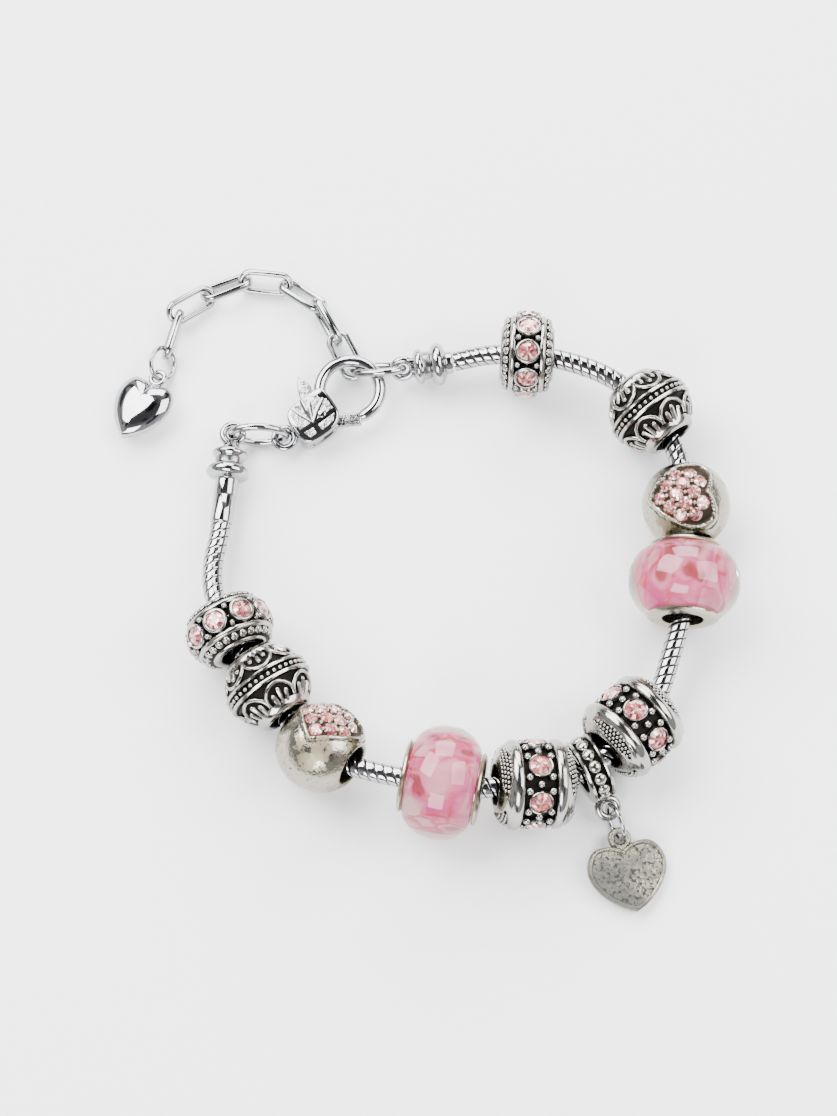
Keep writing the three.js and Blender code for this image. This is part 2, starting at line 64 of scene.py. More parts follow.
# %% Camera
LEFT_GLASS = (2.85, -31.0)
ELEVATION = radians(72)
DISTANCE = 366 * MM
VIEW_ANGLE = radians(22)

low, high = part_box("glass_bead_left")
zero = Vector(((low[0] + high[0]) / 2, (low[1] + high[1]) / 2, 0)) - Vector((*LEFT_GLASS, 0)) * MM
camera = bpy.data.objects.new("camera", bpy.data.cameras.new("camera"))
bpy.context.scene.collection.objects.link(camera)
camera.data.sensor_fit = "VERTICAL"
camera.data.angle = VIEW_ANGLE
camera.data.clip_start = 0.01
camera.location = zero + DISTANCE * Vector((0, -cos(ELEVATION), sin(ELEVATION)))
camera.rotation_euler = (pi / 2 - ELEVATION, 0, 0)
bpy.context.scene.camera = camera
print("camera height in mm:", round(camera.location.z / MM))

# %% [markdown]
# The table is a pale sheet with a faint speckle. The helpers here serve every later finish: they make a
# node, feed its inputs with sockets or constants, and give back what comes out of it.

# %% Table
def node_material(name):
    """A new material, with its node tree and its Principled shader."""
    material = bpy.data.materials.new(name)
    material.use_nodes = True
    return material, material.node_tree, material.node_tree.nodes["Principled BSDF"]


def connect(tree, socket, value):
    """Links an input to another node's socket, or sets it to a number or a colour."""
    if isinstance(value, bpy.types.NodeSocket):
        tree.links.new(value, socket)
    elif isinstance(value, (int, float)):
        socket.default_value = value
    else:
        socket.default_value = (*value, 1)


def feed(tree, node, **inputs):
    """Connects a node's inputs by their names, which have _ for a space."""
    for key, value in inputs.items():
        connect(tree, node.inputs[key.replace("_", " ")], value)


def add_node(tree, kind, settings=None, **inputs):
    """A shader node with its settings and its inputs."""
    node = tree.nodes.new(kind)
    for key, value in (settings or {}).items():
        setattr(node, key, value)
    feed(tree, node, **inputs)
    return node


def noise(tree, **inputs):
    """A noise that lies on the piece's own coordinates."""
    where = add_node(tree, "ShaderNodeTexCoord")
    return add_node(tree, "ShaderNodeTexNoise", Vector=where.outputs["Object"], **inputs)


def ramp(tree, value, stops):
    """The colour that a ramp gives to a value; a stop is a place and its colour."""
    node = add_node(tree, "ShaderNodeValToRGB", Fac=value)
    while len(node.color_ramp.elements) < len(stops):
        node.color_ramp.elements.new(0.5)
    for element, (place, colour) in zip(node.color_ramp.elements, stops):
        element.position = place
        element.color = (*colour, 1.0)
    return node.outputs["Color"]


bpy.ops.mesh.primitive_plane_add(size=3)
table = bpy.context.object
table.name = "table"
paper, tree, shader = node_material("pale_table")
speckle = noise(tree, Scale=900.0, Detail=3.0).outputs["Fac"]
tints = ramp(tree, speckle, [(0.3, (0.925, 0.935, 0.94)), (0.7, (0.955, 0.965, 0.97))])
feed(tree, shader, Base_Color=tints, Roughness=0.7)
table.data.materials.append(paper)
print("table nodes:", len(tree.nodes))

# %% [markdown]
# Polished metal shows what is round it more than its own colour. The room is therefore drawn as a world:
# bright walls and a dark ceiling by height, multiplied by a coarse noise for the dark things that stand
# about in a room. The walls give the long white gleams, and the rest gives the black ones.

# %% Room
def mix(tree, share, first, second, kind="RGBA", blend="MIX"):
    """A share of the second colour (RGBA) or number (FLOAT), mixed into the first."""
    node = add_node(tree, "ShaderNodeMix", {"data_type": kind, "blend_type": blend})
    start, result = (6, 2) if kind == "RGBA" else (2, 0)
    for place, value in ((0, share), (start, first), (start + 1, second)):
        connect(tree, node.inputs[place], value)
    return node.outputs[result]


world = bpy.data.worlds.new("room")
bpy.context.scene.world = world
world.use_nodes = True
tree = world.node_tree
around = add_node(tree, "ShaderNodeTexCoord").outputs["Generated"]
height = add_node(tree, "ShaderNodeSeparateXYZ", Vector=around).outputs["Z"]
walls = ramp(tree, height, [(0.0, (0.55, 0.56, 0.58)), (0.12, (0.92, 0.93, 0.95)), (0.62, (0.95, 0.95, 0.96)),
                            (0.82, (0.45, 0.46, 0.48)), (0.95, (0.16, 0.16, 0.17))])
shapes = add_node(tree, "ShaderNodeTexNoise", Vector=around, Scale=2.3, Detail=1.0).outputs["Fac"]
things = ramp(tree, shapes, [(0.42, (0.12, 0.12, 0.13)), (0.50, (1.0, 1.0, 1.0))])
room = mix(tree, 1.0, walls, things, blend="MULTIPLY")
feed(tree, tree.nodes["Background"], Color=room, Strength=0.75)
print("room nodes:", len(tree.nodes))

# %% [markdown]
# Four large soft lamps stand round the table. A large lamp makes a broad gleam and a soft shadow, so each
# is more than half as wide as it is far away. A row gives the size, the watts and the place.

# %% Lamps
LAMPS = [
    ("key", 0.6, 16.5, (-0.40, 0.32, 0.60)),
    ("fill", 0.6, 10.5, (0.55, 0.05, 0.55)),
    ("back", 0.5, 9.5, (0.05, 0.62, 0.38)),
    ("front", 0.4, 7.0, (-0.15, -0.60, 0.45)),
]


def lamp(name, size, watts, place):
    """A square lamp that looks at the frame's zero; its size and place are in metres."""
    light = bpy.data.lights.new(name, "AREA")
    light.size = size
    light.energy = watts
    holder = bpy.data.objects.new(name, light)
    bpy.context.scene.collection.objects.link(holder)
    holder.location = place
    holder.rotation_euler = (-Vector(place)).to_track_quat("-Z", "Y").to_euler()


for row in LAMPS:
    lamp(*row)
print("lamps:", len(LAMPS))

# %% [markdown]
# ## Where each piece lies
# The CAD rows give every piece on the chain a place, a heading, a pitch and a roll, with its bore along
# its own X and Z up. The same rows are repeated here, in the CAD's drafting coordinates and in
# millimetres, so that each dressed piece lies in its solid. The height comes from the solid itself.

# %% Placements
ON_THE_CHAIN = {
    "rhinestone_spacer_left": (-23.5, -11.3, -64, 5, 16),
    "filigree_ball_left": (-18.6, -18.45, -57, 0, -3),
    "pave_heart_ball_left": (-12.0, -26.25, 147, -10, 41),
    "glass_bead_left": (2.85, -31.0, -11, 0, 0),
    "crystal_barrel_left": (14.05, -30.95, 3, -9, -12),
    "charm_holder": (21.1, -28.65, 27, 0, 115),
    "crystal_barrel_right": (26.4, -23.6, 42, -5, -6),
    "glass_bead_right": (33.13, -5.35, 86, 0, 0),
    "pave_heart_ball_right": (33.77, 5.2, 96, 0, -10),
    "filigree_ball_right": (29.6, 17.9, 126, 0, 14),
    "rhinestone_spacer_right": (13.9, 25.65, 177, 0, -18),
}
SIDES = ("left", "right")


def placed(x, y, z, heading=0, pitch=0, roll=0):
    """The matrix that takes a piece made in millimetres at the origin to its place in the frame."""
    turned = Euler((radians(roll), -radians(pitch), radians(heading)), "XYZ").to_matrix().to_4x4()
    return Matrix.Translation(zero + Vector((x, y, z)) * MM) @ turned @ Matrix.Scale(MM, 4)


def strung(node):
    """The place of a piece on the chain: its height is the middle of its CAD solid."""
    x, y, *turns = ON_THE_CHAIN[node]
    bottom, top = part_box(node)
    return placed(x, y, (bottom[2] + top[2]) / 2 / MM, *turns)


print("drafting zero in mm:", [round(v / MM, 2) for v in zero[:2]])

# %% [markdown]
# ## Finishes
# Cheap cast jewellery is silver plated, dipped in a blackening bath and polished again, so that black
# stays in the hollows. Each metal piece therefore carries a vertex value called `hollow`, from 0 on what
# the polishing wheel reached to 1 where it never did. On the snake chain and the clasp's seams the same
# value is painted shade: it blackens the grooves between parts. One node group turns it into a mask with
# ragged edges and adds the fine pits of the casting. Every metal finish uses that group with its own values.

# %% The blackening group
MASK_RANGE = (0.35, 0.7)


def calculate(tree, operation, *inputs):
    """The result of a Math node; its inputs are numbers or sockets."""
    node = add_node(tree, "ShaderNodeMath", {"operation": operation})
    for socket, value in zip(node.inputs, inputs):
        connect(tree, socket, value)
    return node.outputs[0]


def remap(tree, value, known=(0, 1), wanted=(0, 1), curve="LINEAR"):
    """A value taken from a known range to a wanted one, and held inside it."""
    node = add_node(tree, "ShaderNodeMapRange", {"interpolation_type": curve}, Value=value,
                    From_Min=known[0], From_Max=known[1], To_Min=wanted[0], To_Max=wanted[1])
    return node.outputs[0]


def blackening_group():
    """The group that makes a ragged mask of the value hollow, and gives the grain and the patches."""
    group = bpy.data.node_groups.new("blackening", "ShaderNodeTree")
    socket = group.interface.new_socket
    for name, value in (("Grain", 900.0), ("Spread", 0.5), ("Pits", 0.2)):
        socket(name, in_out="INPUT", socket_type="NodeSocketFloat").default_value = value
    for name in ("Mask", "Height", "Patches"):
        socket(name, in_out="OUTPUT", socket_type="NodeSocketFloat")
    inside = add_node(group, "NodeGroupInput").outputs
    hollow = add_node(group, "ShaderNodeAttribute", {"attribute_name": "hollow"}).outputs["Fac"]
    grain = noise(group, Scale=inside["Grain"], Detail=4.0, Roughness=0.6).outputs["Fac"]
    patches = noise(group, Scale=210.0, Detail=5.0, Roughness=0.62).outputs["Fac"]
    centred = calculate(group, "SUBTRACT", grain, 0.5)
    ragged = calculate(group, "MULTIPLY_ADD", centred, inside["Spread"], hollow)
    mask = remap(group, ragged, MASK_RANGE, curve="SMOOTHSTEP")
    height = calculate(group, "MULTIPLY", grain, inside["Pits"])
    add_node(group, "NodeGroupOutput", Mask=mask, Height=height, Patches=patches)
    return group


BLACKENING = blackening_group()
print("group outputs:", len([s for s in BLACKENING.interface.items_tree if s.in_out == "OUTPUT"]))

# %% [markdown]
# A metal finish mixes two metal colours by the patches of tarnish, then black by the mask: the black of
# the bath, and painted shade in the grooves of the chain and the clasp. Roughness goes the same way: black
# silver sulphide is dull, and so is tarnish. A piece whose value hollow is a little above 0 all over gets
# black specks from the grain instead of black hollows.

# %% Metal finishes
# the black of the bath in the castings' hollows, and painted shade in the grooves of the chain and the clasp
OXIDE_AND_SHADE_BLACK = (0.010, 0.009, 0.008)
SOOT_ROUGHNESS = 0.55
BUMP = {"Strength": 0.35, "Distance": 0.00006}


def metal(name, clean, stained, rough, stained_rough, grain, spread, pits, black=OXIDE_AND_SHADE_BLACK, stain=(0.5, 0.72)):
    """A silver finish; grain is the noise's scale, spread its share in the mask, pits the bump."""
    material, tree, shader = node_material(name)
    wear = add_node(tree, "ShaderNodeGroup", {"node_tree": BLACKENING}, Grain=grain, Spread=spread,
                    Pits=pits).outputs
    patch = remap(tree, wear["Patches"], stain, curve="SMOOTHSTEP")
    tone = mix(tree, patch, clean, stained)
    gloss = remap(tree, patch, wanted=(rough, stained_rough))
    bump = add_node(tree, "ShaderNodeBump", Height=wear["Height"], **BUMP)
    feed(tree, shader, Base_Color=mix(tree, wear["Mask"], tone, black), Metallic=1.0,
         Roughness=mix(tree, wear["Mask"], gloss, SOOT_ROUGHNESS, "FLOAT"), Normal=bump.outputs["Normal"])
    return material


ANTIQUE = metal("antique_silver", clean=(0.36, 0.35, 0.33), stained=(0.22, 0.205, 0.18), rough=0.13,
                stained_rough=0.28, grain=1400, spread=0.6, pits=0.5)
BRIGHT = metal("bright_plating", clean=(0.40, 0.40, 0.41), stained=(0.33, 0.33, 0.33), rough=0.05,
               stained_rough=0.10, grain=900, spread=0.3, pits=0.1)
WARM = metal("warm_silver", clean=(0.33, 0.305, 0.25), stained=(0.31, 0.265, 0.18), rough=0.08,
             stained_rough=0.5, grain=2000, spread=1.9, pits=3.0, black=(0.035, 0.028, 0.02),
             stain=(0.54, 0.60))
STAINED = metal("stained_silver", clean=(0.25, 0.235, 0.185), stained=(0.12, 0.12, 0.105), rough=0.2,
                stained_rough=0.45, grain=2100, spread=2.9, pits=8.0, black=(0.045, 0.045, 0.043),
                stain=(0.42, 0.6))
STIPPLED = metal("stippled_plating", clean=(0.54, 0.54, 0.55), stained=(0.46, 0.46, 0.47), rough=0.22,
                 stained_rough=0.35, grain=1350, spread=2.4, pits=8.0)
FLECKED = metal("flecked_plating", clean=(0.36, 0.36, 0.37), stained=(0.24, 0.24, 0.25), rough=0.1,
                stained_rough=0.2, grain=1500, spread=2.4, pits=7.0)
SATIN = metal("satin_silver", clean=(0.40, 0.375, 0.28), stained=(0.31, 0.275, 0.18), rough=0.2,
              stained_rough=0.36, grain=1600, spread=0.3, pits=0.5, black=(0.07, 0.06, 0.045))
print("finishes that use the group:", BLACKENING.users)

# %% [markdown]
# The stones are machine-cut glass. Their back is foiled, so that light comes back through the facets as a
# mosaic of white, pale rose and deep rose. Tracing that through thousands of tiny facets would be slow
# and noisy. Here each stone is solid and that light is painted into its colour: its facets are drawn from
# its own UV map, where the girdle is the unit circle, and each gets a colour by chance from deep rose, a
# painted shade, to white, a painted glint. A clear coat on the flat-shaded crown gives the sparks.

# %% Cut stone finish
SECTORS = 8
RINGS = 3.2
ZIGZAG = 0.28


def cut_stone_finish():
    """Rings of facets with zigzag borders, each painted by chance from a dark shade to a white glint, under a
    clear coat.
    """
    material, tree, shader = node_material("rose_crystal_and_painted_glints")
    face = add_node(tree, "ShaderNodeUVMap", {"uv_map": "cut"}).outputs["UV"]
    seed = add_node(tree, "ShaderNodeAttribute", {"attribute_name": "seed"}).outputs["Fac"]
    parts = add_node(tree, "ShaderNodeSeparateXYZ", Vector=face).outputs
    across, up = parts["X"], parts["Y"]
    eighth = calculate(tree, "MULTIPLY", calculate(tree, "ARCTAN2", up, across), SECTORS / (2 * pi))
    zigzag = calculate(tree, "PINGPONG", eighth, 0.5)
    squared = calculate(tree, "ADD", calculate(tree, "MULTIPLY", across, across),
                        calculate(tree, "MULTIPLY", up, up))
    out = calculate(tree, "MULTIPLY_ADD", zigzag, ZIGZAG, calculate(tree, "SQRT", squared))
    ring = calculate(tree, "FLOOR", calculate(tree, "MULTIPLY", out, RINGS))
    shifted = calculate(tree, "MULTIPLY_ADD", ring, 0.5, eighth)
    sector = calculate(tree, "FLOOR", calculate(tree, "MULTIPLY", shifted, 2.0))
    facet = calculate(tree, "MULTIPLY_ADD", ring, 17.0, sector)
    both = add_node(tree, "ShaderNodeCombineXYZ", X=facet, Y=seed).outputs[0]
    chance = add_node(tree, "ShaderNodeTexWhiteNoise", {"noise_dimensions": "2D"}, Vector=both)
    chance = chance.outputs["Value"]
    # painted light: the near-black facets are painted shade and the white ones are painted glints
    tints = ramp(tree, chance, [(0.0, (0.08, 0.012, 0.02)), (0.25, (0.24, 0.035, 0.045)),
                                (0.5, (0.42, 0.09, 0.09)), (0.76, (0.58, 0.21, 0.17)),
                                (0.9, (1.0, 0.85, 0.80))])
    feed(tree, shader, Base_Color=tints, Roughness=remap(tree, chance, wanted=(0.25, 0.06)), Metallic=0.35,
         Coat_Weight=1.0, Coat_Roughness=0.02, Coat_IOR=1.6)
    return material


ROSE = cut_stone_finish()
print("stone finish nodes:", len(ROSE.node_tree.nodes))

# %% [markdown]
# ## Making shapes
# Nearly everything here was turned, wound from wire, or cast from a turned master. The first helper turns
# a profile with the spin operator. A row gives the place along the axis, the radius and how black the
# hollow is.

# %% Turned shapes
SAME_PLACE = 0.0005


def new_piece():
    """An empty piece whose vertices can carry the value hollow."""
    bm = bmesh.new()
    bm.verts.layers.float.new("hollow")
    return bm


def darken(bm, value):
    """Gives all vertices the same value hollow; from 0.2 to 0.4 a rough grain shows as black specks."""
    layer = bm.verts.layers.float["hollow"]
    for vert in bm.verts:
        vert[layer] = value


def turn(rows, steps=64, axis="X", closed=True):
    """Turns a profile round X or Z. Rows are (along, radius, hollow); a closed one ends where it began."""
    bm = new_piece()
    layer = bm.verts.layers.float["hollow"]
    corners = []
    for along, radius, dark in rows:
        corner = bm.verts.new((along, 0, radius) if axis == "X" else (radius, 0, along))
        corner[layer] = dark
        corners.append(corner)
    following = corners[1:] + corners[:1] if closed else corners[1:]
    edges = [bm.edges.new(pair) for pair in zip(corners, following)]
    spun_round = (1, 0, 0) if axis == "X" else (0, 0, 1)
    bmesh.ops.spin(bm, geom=corners + edges, cent=(0, 0, 0), axis=spun_round, angle=2 * pi, steps=steps,
                   use_merge=True)
    bmesh.ops.remove_doubles(bm, verts=bm.verts, dist=SAME_PLACE)
    return bm


def both_ends(half):
    """The rows of a piece that is alike at both ends, from those of one half, middle to end."""
    return [(-along, radius, dark) for along, radius, dark in reversed(half)] + half


print("a turned test ring has", len(turn([(0, 2, 0), (1, 2, 0), (1, 3, 0)], 12).faces), "faces")

# %% [markdown]
# A caster's master is built up from small parts that repeat, such as grains and cups. Each is made once,
# standing upright, and copied into its bead. A seat is the place of such a part on the bead's skin, and
# most parts sit evenly spaced round the bore, often alike at both ends.

# %% Copies and their seats
def join(bm, part, places=(Matrix.Identity(4),)):
    """Copies a small part into a piece, once for each place or once as it lies, and lets the part go."""
    form = bpy.data.meshes.new("form")
    part.to_mesh(form)
    part.free()
    for place in places:
        form.transform(place)
        bm.from_mesh(form)
        form.transform(place.inverted())
    bpy.data.meshes.remove(form)


def seat(angle, along, height, lean=0, spin=0):
    """The place of a part made upright: on a strung piece's skin, at an angle round its bore."""
    return (Matrix.Rotation(radians(angle), 4, "X") @ Matrix.Translation((along, 0, height))
            @ Matrix.Rotation(radians(lean), 4, "Y") @ Matrix.Rotation(radians(spin), 4, "Z"))


def seats(count, along, height, start=0, lean=0):
    """That many seats, spread evenly round the bore from a first angle."""
    return [seat(start + 360 * i / count, along, height, lean) for i in range(count)]


def at_both_ends(places):
    """Each place, and the same one at the other end of the piece."""
    return [Matrix.Rotation(turned, 4, "Z") @ place for place in places for turned in (0, pi)]


def grain_bead(radius, flat=1.0, around=10, rings=6):
    """A little ball of solder; flat squeezes its height."""
    bm = new_piece()
    bmesh.ops.create_uvsphere(bm, u_segments=around, v_segments=rings, radius=radius)
    bmesh.ops.scale(bm, vec=(1, 1, flat), verts=bm.verts)
    return bm


print("a grain of solder has", len(grain_bead(1).faces), "faces")

# %% [markdown]
# Wire is drawn as a rod through points. It starts from a circle and extrudes its edge again and again,
# each time carried on to the next point and turned no more than the bend needs.

# %% Wire
def only_verts(items):
    """The vertices among what an operator gives back."""
    return [item for item in items if isinstance(item, bmesh.types.BMVert)]


def next_ring(bm, edges):
    """Extrudes a closed row of edges; gives the new row's vertices and its edges."""
    made = bmesh.ops.extrude_edge_only(bm, edges=edges)["geom"]
    ring = only_verts(made)
    return ring, [item for item in made if isinstance(item, bmesh.types.BMEdge)
                  and all(vert in ring for vert in item.verts)]


def rod(points, radii, sides=10, tall=1.0):
    """A rod through points, closed at both ends; radii has one number for each point or for all."""
    bm = new_piece()
    path = [Vector(point) for point in points]
    if isinstance(radii, (int, float)):
        radii = [radii] * len(path)
    ring = bmesh.ops.create_circle(bm, segments=sides, radius=1)["verts"]
    edges = list(bm.edges)
    ahead = (path[1] - path[0]).normalized()
    turned = ahead.to_track_quat("Z", "X")
    before = Matrix.Identity(4)
    for i, (point, radius) in enumerate(zip(path, radii)):
        if i:
            ring, edges = next_ring(bm, edges)
            direction = (path[min(i + 1, len(path) - 1)] - path[i - 1]).normalized()
            turned = ahead.rotation_difference(direction) @ turned
            ahead = direction
        after = (Matrix.Translation(point) @ turned.to_matrix().to_4x4()
                 @ Matrix.Diagonal((radius, radius * tall, radius, 1)))
        bmesh.ops.transform(bm, matrix=after @ before.inverted(), verts=ring)
        before = after
    bmesh.ops.holes_fill(bm, edges=[edge for edge in bm.edges if edge.is_boundary])
    return bm


def ring_of_wire(radius, wire, steps=48, sides=16, tall=1.0):
    """A closed round ring round Z; tall stretches the wire along Z."""
    circle = [(tall * wire * sin(2 * pi * i / sides), radius + wire * cos(2 * pi * i / sides), 0)
              for i in range(sides)]
    return turn(circle, steps, "Z")


print("a test ring of wire has", len(ring_of_wire(2, 0.5).faces), "faces")

# %% [markdown]
# A finished piece is cleaned, gets its normals, its place and its finish, rides on its body and stands
# for its CAD solid. Edges sharper than a given angle stay crisp and everything else is shaded smooth.

# %% Finishing a piece
def finish(name, bm, place, material, nodes=(), body="bracelet", sharp=38):
    bmesh.ops.remove_doubles(bm, verts=bm.verts, dist=SAME_PLACE)
    bmesh.ops.dissolve_degenerate(bm, edges=bm.edges, dist=SAME_PLACE)
    bmesh.ops.recalc_face_normals(bm, faces=bm.faces)
    bmesh.ops.transform(bm, matrix=place, verts=bm.verts)
    mesh = bpy.data.meshes.new(name)
    bm.to_mesh(mesh)
    bm.free()
    mesh.materials.append(material)
    mesh.shade_smooth()
    mesh.set_sharp_from_angle(angle=radians(sharp))
    piece = bpy.data.objects.new(name, mesh)
    bpy.context.scene.collection.objects.link(piece)
    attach(piece, body)
    if nodes:
        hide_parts(*nodes)
    print(f"{name}: {len(mesh.polygons)} faces")


# %% [markdown]
# ## The cut stones
# One stone is a turned outline of sixteen sides: a thin girdle, a sloping crown and a flat table. The
# sides stay flat. Its UV map is the view from above, with the girdle on the unit circle.

# %% Stones
def stone(radius, girdle, crown):
    """A cut stone on z = 0; girdle is the height of its widest ring, crown what rises above it."""
    rows = [(0, 0, 0), (0, 0.8 * radius, 0), (girdle - 0.08, radius, 0), (girdle, radius, 0),
            (girdle + crown, 0.56 * radius, 0), (girdle + crown, 0, 0)]
    bm = turn(rows, 16, "Z", closed=False)
    cut = bm.loops.layers.uv.new("cut")
    for face in bm.faces:
        for loop in face.loops:
            loop[cut].uv = (loop.vert.co.x / radius, loop.vert.co.y / radius)
    return bm


def set_stones(name, bead, form, places, nodes=()):
    """One piece with a stone at each place; every stone draws its own chance number."""
    bm = new_piece()
    seed = bm.verts.layers.float.new("seed")
    size = len(form.verts)
    join(bm, form, places)
    verts = list(bm.verts)
    for first in range(0, len(verts), size):
        chance = random.random() * 50
        for vert in verts[first:first + size]:
            vert[seed] = chance
    finish(name, bm, bead, ROSE, nodes, sharp=8)


print("a test stone has", len(stone(1, 0.5, 0.4).faces), "faces")

# %% [markdown]
# ## The rhinestone spacers
# A short drum whose waist holds nine stones, each in a round cup with a rolled rim. Two thin rims guard
# them and the sloping ends carry a ring of oval lobes over a blackened ground.

# %% Spacers
SPACER_STONES = 9
SPACER_LOBES = 24
SPACER_ROWS = [
    (0, 4.25, 1), (1.5, 4.25, 1), (1.56, 4.7, 0.6), (1.66, 4.9, 0), (1.85, 4.96, 0), (2.1, 4.92, 0),
    (2.26, 4.75, 0.2), (2.33, 4.5, 1), (2.75, 4.3, 1), (3.02, 3.95, 1), (3.1, 3.6, 0.9), (3.14, 3.5, 0.2),
    (3.3, 3.42, 0), (3.42, 3.2, 0), (3.42, 2.7, 0.1), (3.3, 2.5, 0.8),
]
CUP_ROWS = [
    (4.1, 0, 1), (4.1, 1.5, 1), (4.7, 1.56, 0.6), (5.15, 1.58, 0.1), (5.32, 1.55, 0), (5.41, 1.45, 0),
    (5.42, 1.32, 0), (5.35, 1.22, 0), (5.15, 1.18, 0.7), (4.65, 1.18, 1), (4.65, 0, 1),
]


def spacer(side):
    """A spacer: the turned drum with its cups, grains and lobes, and the stones as a second piece."""
    name = f"rhinestone_spacer_{side}"
    step = 360 / SPACER_STONES
    bm = turn(both_ends(SPACER_ROWS), 72)
    join(bm, turn(CUP_ROWS, 28, "Z", False), seats(SPACER_STONES, 0, 0))
    for height, radius in ((5.2, 0.36), (4.85, 0.38)):
        for along in (-1.2, 1.2):
            join(bm, grain_bead(radius), seats(SPACER_STONES, along, height, step / 2))
    join(bm, grain_bead(0.22), seats(SPACER_STONES, 0, 4.45, step / 2))
    lobe = grain_bead(1, 1, 12, 8)
    bmesh.ops.scale(lobe, vec=(0.52, 0.5, 0.26), verts=lobe.verts)
    join(bm, lobe, at_both_ends(seats(SPACER_LOBES, 2.72, 4.3, lean=52)))
    finish(f"{name}_casting", bm, strung(name), ANTIQUE, [name])
    places = [seat(step * i, 0, 4.58, spin=7 * step * i) for i in range(SPACER_STONES)]
    set_stones(f"{name}_stones", strung(name), stone(1.2, 0.62, 0.42), places,
               [f"{name}_stone_{i + 1}" for i in range(SPACER_STONES)])


for side in SIDES:
    spacer(side)

# %% [markdown]
# ## The filigree balls
# Two rails with a row of granules between them circle the middle. On either side seven arches spring from
# the collar, with fan ribs inside, over a black ground. All of it was laid as wire on the master.

# %% Filigree
SCALLOPS = 7
GRANULES = 38
FILIGREE_ROWS = [
    (0, 5.1, 0.9), (0.42, 5.1, 0.9), (0.45, 5.4, 0.3), (0.52, 5.55, 0), (0.7, 5.6, 0), (0.88, 5.52, 0),
    (0.95, 5.25, 0.5), (0.98, 4.9, 1), (2.0, 4.55, 1), (2.9, 3.95, 1), (3.3, 3.5, 1), (3.34, 3.62, 0.3),
    (3.48, 3.7, 0), (3.9, 3.6, 0), (4.35, 3.35, 0), (4.58, 3.05, 0), (4.6, 2.65, 0.2), (4.4, 2.5, 0.8),
]
ARCH = [
    (40, -0.5), (34, -0.49), (26, -0.42), (19, -0.29), (15, -0.13), (13.8, 0), (15, 0.13), (19, 0.29),
    (26, 0.42), (34, 0.49), (40, 0.5),
]
FAN = ((-0.24, 31), (0, 25), (0.24, 31))


def on_ball(radius, latitude, longitude):
    """A point of a ball round the bore: latitude from the middle band, longitude round the bore."""
    lat, lon = radians(latitude), radians(longitude)
    return Vector((radius * sin(lat), -radius * cos(lat) * sin(lon), radius * cos(lat) * cos(lon)))


def filigree_ball(side):
    """A filigree ball: rails and collars turned, then the granules and the arches with their fans."""
    name = f"filigree_ball_{side}"
    bm = turn(both_ends(FILIGREE_ROWS), 72)
    join(bm, grain_bead(0.3), seats(GRANULES, 0, 5.3))
    step = 360 / SCALLOPS
    arch = rod([on_ball(5.15, lat, step * part) for lat, part in ARCH], 0.26, 10)
    for part, reach in FAN:
        rib = [on_ball(5.05, lat, step * part * spread)
               for lat, spread in ((48, 0.75), (40, 0.9), (reach, 1))]
        join(arch, rod(rib, [0.22, 0.3, 0.34], 8))
        join(arch, grain_bead(0.34), [Matrix.Translation(rib[-1])])
    join(bm, arch, at_both_ends(seats(SCALLOPS, 0, 0)))
    finish(f"{name}_casting", bm, strung(name), ANTIQUE, [name])


for side in SIDES:
    filigree_ball(side)

# %% [markdown]
# ## The heart balls
# A plain ball has a sunk heart with a fine raised border, filled with thirteen small stones and grains
# between them. The heart is one curve, looked down on from above, and the CAD uses the same one. The two
# heart charms use it too, with other sizes.

# %% Heart outline
def held(value, low=0.0, high=1.0):
    """A value kept between two limits."""
    return min(high, max(low, value))


def bezier(start, first, second, end, steps):
    """Points of one cubic curve, without its last."""
    points = []
    for i in range(steps):
        t = i / steps
        weights = ((1 - t) ** 3, 3 * t * (1 - t) ** 2, 3 * t * t * (1 - t), t ** 3)
        points.append(Vector(tuple(sum(w * p[k] for w, p in zip(weights, (start, first, second, end)))
                                   for k in (0, 1))))
    return points


def heart_outline(length, width, steps=10, reach=0.13):
    """A heart along X, its notch at x = 0 and its point at x = length; its lobes reach back."""
    half, lobe = width / 2, -reach * length
    top = [((0, 0), (lobe, 0.1 * half), (lobe, 0.5 * half), (lobe, 0.55 * half)),
           ((lobe, 0.55 * half), (lobe, 0.85 * half), (0.08 * length, half), (0.25 * length, half)),
           ((0.25 * length, half), (0.55 * length, half), (0.88 * length, 0.47 * half), (length, 0))]
    upper = [point for part in top for point in bezier(*part, steps)]
    lower = [Vector((point.x, -point.y)) for point in reversed(upper[1:])]
    return upper + [Vector((length, 0))] + lower


def inside_by(point, outline):
    """How far a point is inside an outline; negative outside."""
    nearest, crossings = 1e9, 0
    for a, b in zip(outline, outline[1:] + outline[:1]):
        side = b - a
        share = held((point - a).dot(side) / side.length_squared)
        nearest = min(nearest, (point - a - side * share).length)
        if (a.y > point.y) != (b.y > point.y):
            crossings += point.x < a.x + (point.y - a.y) / (b.y - a.y) * side.x
    return nearest if crossings % 2 else -nearest


PAVE_HEART = heart_outline(7.3, 8.5, reach=0.08)
print("heart outline points:", len(PAVE_HEART))

# %% [markdown]
# The ball is turned with a fine mesh. Each vertex of its upper part asks how far it is inside the heart:
# near the outline it is raised to the border, and further in it goes down to the floor of the recess. A
# sooty line follows the border outside. The rest of the skin gets a low value hollow, which the grain
# turns into the specks of worn plating. Grains sit wherever two stones leave room between them.

